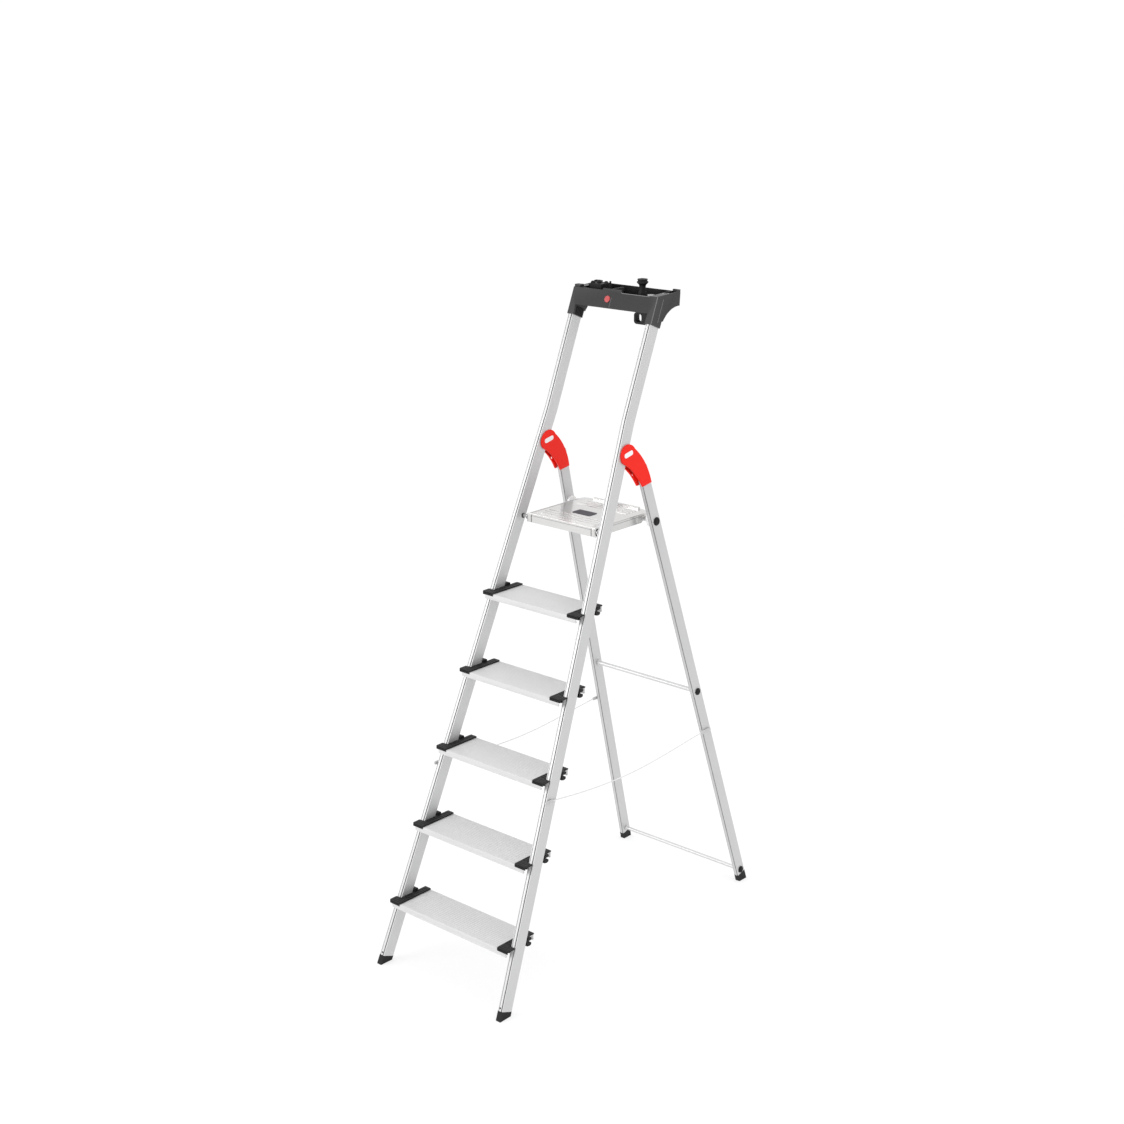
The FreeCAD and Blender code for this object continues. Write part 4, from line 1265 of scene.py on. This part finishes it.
@dataclass
class Platform(SubAssembly):
    """Pressed deck with a rolled rim, ribs and a grip, a dark label, its pins and rear brackets."""

    width: float = 251.0
    depth: float = 246.0
    setback: float = 17.0
    skirt: float = 24.0
    corner: float = 32.0
    pin_drop: float = 11.5
    pin_setback: float = 9.0
    pin_inside: float = 16.0
    rod_height: float = 1217.0
    bracket: float = 8.0

    def rim(self, front: float, top: float) -> Clay:
        """Low rolled bead along the front and the sides of the deck.

        Args:
            front: Front edge of the deck.
            top: Top of the deck.

        Returns:
            The beads.
        """
        half, stop = self.width / 2, front + self.depth - self.corner
        clay = Clay().block((-half + 4, front + 2.0, top - 0.4), (half - 4, front + 5.6, top + 1.1),
                            None, 0.7)
        for side in Side:
            low, high = sorted((side.value * (half - 6.0), side.value * (half - 2.4)))
            clay.block((low, front + 5.0, top - 0.4), (high, stop, top + 1.1), None, 0.7)
        return clay

    def pins(self, front: float, top: float) -> None:
        """Turned pins from the deck's sides to the rails, with a dark washer at each end.

        Args:
            front: Front edge of the deck.
            top: Top of the deck.
        """
        stance, half = self.stance, self.width / 2
        pin_y, pin_z = front + self.pin_setback, top - self.pin_drop
        inner = stance.centre_x(pin_z) - stance.rail_width / 2
        run = inner - half + self.pin_inside
        for side in Side:
            start = side.value * (half - self.pin_inside)
            out = at(start, pin_y, pin_z) @ turn_to((side.value, 0, 0))
            profile = [(2.0, 0.0), (5.0, 0.0), (5.0, 17.1), (8.6, 17.2), (9.0, 17.6), (9.0, 19.8),
                       (8.6, 20.3), (5.0, 20.6), (5.0, run + 12.0), (2.0, run + 12.0)]
            self.dress(Clay().lathe(profile, out, 32).fire(f"platform_pin_{side.word}_turned"),
                       self.finishes.steel, Slot.STEEL, Body.FRAME, [f"platform_pin_{side.word}"])
            inside = Clay().lathe([(5.2, 16.0), (10.6, 16.0), (10.8, 16.3), (10.5, 16.9), (5.2, 17.0)],
                                  out, 36)
            self.dress(inside.fire(f"platform_washer_{side.word}"), self.finishes.black, Slot.BLACK,
                       Body.DECK)
            outside = Clay().lathe([(5.0, run - 1.0), (7.8, run - 1.0), (8.2, run - 0.7), (8.2, run - 0.1),
                                    (5.0, run - 0.1)], out, 36)
            self.dress(outside.fire(f"rail_washer_{side.word}"), self.finishes.black, Slot.BLACK, Body.FRAME)

    def corners(self, front: float, top: float) -> None:
        """Folded tab at each end of the front skirt, a dark line of painted shade in the seam beside each
        tab, and another along the fold line round it.

        Args:
            front: Front edge of the deck.
            top: Top of the deck.
        """
        half, bottom = self.width / 2, top - self.skirt + 1.4
        tabs, shade_lines = Clay(), Clay()
        for side in Side:
            low, high = sorted((side.value * (half - 14.4), side.value * (half - 4.6)))
            tabs.block((low, front - 0.7, bottom), (high, front + 0.6, top - 2.0), None, 0.35, 0.35)
            # Dark lines in the seam and along the fold line are painted shade.
            low, high = sorted((side.value * (half - 17.4), side.value * (half - 15.0)))
            shade_lines.block((low, front - 0.2, bottom), (high, front + 0.6, top - 2.0), None, 0.1, 0.1)
        low, high = (-half + 2.0, front - 0.15, top - 5.0), (half - 2.0, front + 0.3, top - 4.1)
        shade_lines.block(low, high, None, 0.1, 0.1)
        for side in Side:
            near, far = sorted((side.value * (half - 0.3), side.value * (half + 0.15)))
            stop = front + self.depth - self.corner - 2.0
            shade_lines.block((near, front + 2.0, top - 5.0), (far, stop, top - 4.1), None, 0.1, 0.1)
        self.dress(tabs.fire("platform_corner_tabs"), self.finishes.deck, Slot.DECK, Body.DECK)
        self.dress(shade_lines.fire("platform_shade_lines"), self.finishes.gap, Slot.BLACK, Body.DECK)

    def brackets(self) -> None:
        """Pale moulded blocks that hold the rod inside each leg."""
        stance = self.stance
        lean, splay = math.radians(stance.lean_rear), stance.member_splay(stance.lean_rear)
        up = self.rod_height / math.cos(lean) / math.cos(splay)
        for side in Side:
            face = -side.value
            turn = side_view(face * (stance.leg_width / 2 + 0.1), face=face)
            view = rounded([(0.8, up - 18.0, 6.0), (31.6, up - 18.0, 6.0), (31.6, up + 10.0, 8.0),
                            (22.0, up + 16.0, 8.0), (0.8, up + 15.0, 7.0)], 6)
            place = stance.leg_frame(side) @ turn
            clay = Clay().slab(view, self.bracket, place, 1.6, 3)
            step = rounded([(5.0, up - 13.0, 4.0), (27.0, up - 13.0, 4.0), (27.0, up + 10.0, 7.0),
                            (5.0, up + 12.0, 5.0)], 6)
            clay.slab(step, 2.0, place @ at(0, 0, self.bracket - 0.6), 0.8)
            self.dress(clay.fire(f"rod_bracket_{side.word}"), self.finishes.plate, Slot.PLATE, Body.REAR)

    def build(self) -> None:
        """Round the deck and add the rim, the label, the pins and the brackets."""
        stance = self.stance
        top = stance.tread_height(stance.treads + 1)
        front = stance.rail_y(top) + self.setback
        deck = Clay.from_node("platform_deck")
        deck.round_edges(0.55, sharp_edges(30.0), 2)
        self.dress(deck.fire("platform_deck_pressing"), self.finishes.deck, Slot.DECK, Body.DECK,
                   ["platform_deck"])
        self.dress(self.rim(front, top).fire("platform_rim"), self.finishes.deck, Slot.DECK, Body.DECK)
        label = Clay().block((-38.0, front + 91.0, top + 0.1), (26.0, front + 125.0, top + 1.5), None,
                             0.4, 3.0)
        for k in range(3):
            low = -30.0 + 17.0 * k
            label.block((low, front + 99.0, top + 1.2), (low + 12.0, front + 117.0, top + 1.75), None,
                        0.2, 1.5)
        self.dress(label.fire("platform_label_plate"), self.finishes.label, Slot.LABEL, Body.DECK,
                   ["platform_label"])
        self.pins(front, top)
        self.corners(front, top)
        self.brackets()


@dataclass
class Tray(SubAssembly):
    """Moulded tool tray with sockets, a bucket ring, a knob, a rack and a plain badge."""

    top: float = 1840.0
    floor: float = 1801.0
    wall: float = 2.4
    half: float = 149.4
    socket_start: float = 1907.0
    edge_radius: float = 0.95
    seam_top: float = 1822.0
    knob_x: float = 70.0
    knob_setback: float = 30.0
    flutes: int = 8
    ring_radius: float = 9.0
    ring_steps: int = 36

    def along(self, height: float) -> float:
        """Distance along the rail plane of a height."""
        return height / math.cos(math.radians(self.stance.lean_front))

    def edges(self) -> Clay:
        """Light grey beads that are painted highlights: apron top, right socket corner, and the moulding's
        seam.
        """
        stance, plane = self.stance, self.stance.front_plane()
        proud = self.wall / math.cos(math.radians(stance.lean_front))
        clay = Clay()
        low, high = self.top - 3.0, self.top
        spots = ((22.0, high), (23.5, low), (121.5, low), (123.0, high), (self.half - 1.0, high))
        clay.tube([Vector((x, stance.rail_y(z) - proud + 0.3, z)) for x, z in spots], self.edge_radius, 10)
        for deep, start in ((-self.wall, self.socket_start + 1.0), (24.0, self.socket_start + 12.0)):
            heights = (start, self.along(self.top) - 1.0)
            ends = [plane @ Vector((self.half - 0.1, deep + 0.3, z)) for z in heights]
            clay.tube(ends, self.edge_radius, 10)
        clay.block((-8.2, -self.wall - 0.2, self.along(self.floor - 5.0)),
                   (-7.2, -self.wall + 0.3, self.along(self.seam_top)), plane, 0.15)
        return clay

    def ribbed_shade_pads(self) -> Clay:
        """Ribbed pads on the inner faces of the sockets, in a darker black that is painted shade."""
        plane = self.stance.front_plane()
        inner = self.half - self.stance.rail_width - 2 * self.wall
        clay = Clay()
        for side in Side:
            low, high = sorted((side.value * (inner + 0.2), side.value * (inner - 0.9)))
            stop = self.along(self.floor - 9.0)
            clay.block((low, 5.0, self.socket_start + 1.5), (high, 37.0, stop), plane, 0.3)
            for k in range(5):
                deep = 8.0 + 6.0 * k
                low, high = sorted((side.value * (inner - 0.6), side.value * (inner - 2.0)))
                clay.block((low, deep, self.socket_start + 3.0), (high, deep + 2.2, stop - 1.0), plane, 0.5)
        return clay

    def knob(self) -> Clay:
        """Turned knob with a flared head and a fluted rim."""
        y = self.stance.rail_y(self.top) + self.knob_setback
        place = at(self.knob_x, y, self.floor)
        clay = Clay().lathe([(1.0, 0.2), (17.0, 0.2), (16.6, 5.0), (13.4, 20.0), (12.4, 34.0), (10.0, 42.0),
                             (9.2, 47.0), (9.0, 57.0), (10.4, 61.0), (13.6, 64.0), (15.0, 66.0), (15.0, 69.0),
                             (13.2, 71.0), (13.0, 73.0), (14.4, 74.2), (14.4, 76.0), (13.0, 76.8),
                             (5.0, 76.8), (4.6, 75.4), (1.0, 75.4)], place, 48)
        for k in range(self.flutes):
            turn = Matrix.Rotation(2 * math.pi * k / self.flutes, 4, "Z")
            clay.block((14.0, -2.0, 65.4), (15.6, 2.0, 70.0), place @ turn, 0.6)
        return clay

    def rack(self) -> Clay:
        """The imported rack, rounded, with three round tool ends standing out of its slots."""
        y = self.stance.rail_y(self.top) + 19.5
        clay = Clay.from_node("tool_rack").round_edges(0.8, sharp_edges(35.0), 2)
        for k, (x, tall) in enumerate(((-106.0, 55.5), (-92.0, 58.0), (-76.0, 54.5))):
            deep = y + 9.0 + 11.0 * k
            clay.lathe([(1.0, 46.0), (6.2, 46.0), (6.6, tall - 5.0), (5.6, tall - 2.0), (3.4, tall),
                        (1.0, tall + 0.4)], at(x, deep, self.floor), 24)
        return clay

    def fittings(self) -> Clay:
        """Small bright ring and two clips on the right of the tray."""
        y = self.stance.rail_y(self.top)
        path = []
        for step in range(self.ring_steps + 1):
            angle = 2 * math.pi * step / self.ring_steps
            path.append(Vector((113.0 + self.ring_radius * math.cos(angle),
                                y + 13.0 + self.ring_radius * math.sin(angle), self.top - 1.0)))
        clay = Clay().tube(path, 1.1, 10)
        for x, deep in ((131.0, 38.0), (138.0, 52.0)):
            clay.block((x, y + deep, self.top - 3.0), (x + 5.0, y + deep + 4.0, self.top + 2.0), None, 0.8)
        return clay

    def build(self) -> None:
        """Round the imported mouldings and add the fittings."""
        tray = Clay.from_node("tray_body")
        tray.round_edges(0.9, sharp_edges(35.0), 2)
        self.dress(tray.fire("tray_body_moulding"), self.finishes.tray, Slot.TRAY, Body.FRAME, ["tray_body"])
        ring = Clay.from_node("bucket_ring").round_edges(1.2, sharp_edges(35.0), 3)
        self.dress(ring.fire("bucket_ring_moulding"), self.finishes.black, Slot.TRAY, Body.FRAME,
                   ["bucket_ring"])
        divider = Clay.from_node("tray_divider").round_edges(0.8, sharp_edges(35.0), 2)
        self.dress(divider.fire("tray_divider_moulding"), self.finishes.tray, Slot.TRAY, Body.FRAME,
                   ["tray_divider"])
        self.dress(self.knob().fire("tray_knob_turned"), self.finishes.black, Slot.TRAY, Body.FRAME,
                   ["tray_knob"])
        self.dress(self.rack().fire("tool_rack_moulding"), self.finishes.black, Slot.TRAY, Body.FRAME,
                   ["tool_rack"])
        self.dress(self.edges().fire("tray_edge_highlights"), self.finishes.edge, Slot.GREY, Body.FRAME)
        # The darker pads inside the sockets are painted shade.
        self.dress(self.ribbed_shade_pads().fire("tray_shade_pads"), self.finishes.black, Slot.BLACK, Body.FRAME)
        self.dress(self.fittings().fire("tray_fittings"), self.finishes.steel, Slot.STEEL, Body.FRAME)
        badge = Clay.from_node("tray_badge").round_edges(0.4, sharp_edges(30.0), 2)
        self.dress(badge.fire("tray_badge_button"), self.finishes.badge, Slot.RED, Body.FRAME, ["tray_badge"])
        screws = Clay.from_node("socket_screws").round_edges(0.4, sharp_edges(30.0), 2)
        self.dress(screws.fire("socket_screw_heads"), self.finishes.steel, Slot.STEEL, Body.FRAME,
                   ["socket_screws"])


@dataclass
class SpreaderCords(SubAssembly):
    """Two thin cords that stop the ladder from spreading, and their clips."""

    diameter: float = 3.2
    length: float = 0.658
    height: float = 550.0
    route: tuple[Point, ...] = (
        (247, 550.5), (281, 546), (338, 538), (396, 531.5), (455, 526.5), (515, 523), (576, 521.5),
        (637, 522.5), (698, 525.5), (758, 530), (816, 535), (872, 540), (904, 542))

    def line(self, side: Side) -> list[Vector]:
        """The smooth line that a cord follows.

        Args:
            side: Left or right.

        Returns:
            Points in millimetres.
        """
        x = side.value * (self.stance.outer_x(self.height) + self.diameter)
        data = bpy.data.curves.new("cord_line", "CURVE")
        data.dimensions = "3D"
        spline = data.splines.new("NURBS")
        spline.points.add(len(self.route) - 1)
        for point, (y, z) in zip(spline.points, self.route):
            point.co = (x * MM, (y - self.stance.half_depth) * MM, z * MM, 1.0)
        spline.order_u = 3
        spline.use_endpoint_u = True
        spline.resolution_u = 8
        holder = bpy.data.objects.new("cord_line", data)
        bpy.context.scene.collection.objects.link(holder)
        bpy.context.view_layer.update()
        mesh = bpy.data.meshes.new_from_object(holder)
        spots = [vert.co / MM for vert in mesh.vertices]
        bpy.data.objects.remove(holder)
        bpy.data.meshes.remove(mesh)
        return spots

    def build(self) -> None:
        for side in Side:
            spots = self.line(side)
            name = f"spreader_cord_{side.word}"
            piece = Clay().tube(spots, self.diameter / 2).fire(f"{name}_braid", 60.0)
            piece.data.materials.append(self.finishes.cord.material())
            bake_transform(piece)
            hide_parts(name)
            LOG.info("%s: cord of %.3f m", piece.name, self.length)
            for kind, body in (("rail", Body.FRAME), ("leg", Body.REAR)):
                node = f"cord_clip_{kind}_{side.word}"
                clay = Clay.from_node(node).round_edges(0.7, sharp_edges(30.0), 2)
                low, high = (Vector(corner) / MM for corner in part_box(node))
                middle = (low + high) / 2
                face = side.value * (abs(high.x if side is Side.RIGHT else low.x) - 0.3)
                screw = at(face, middle.y, middle.z) @ turn_to((side.value, 0, 0))
                clay.lathe([(0.4, 0.0), (3.0, 0.0), (3.0, 0.7), (2.3, 1.2), (0.4, 1.2)], screw, 24)
                self.dress(clay.fire(f"{node}_moulding"), self.finishes.grey, Slot.GREY, body, [node])


def main() -> None:
    """Build the studio and every sub-assembly in order."""
    logging.basicConfig(level=logging.INFO, format="%(name)s %(message)s")
    Studio().build()
    for part in (SpreaderCords(), Extrusions(), Feet(), Treads(), TreadCaps(), Hinges(), Rods(),
                 Platform(), Tray()):
        part.build()


if __name__ == "__main__":
    main()
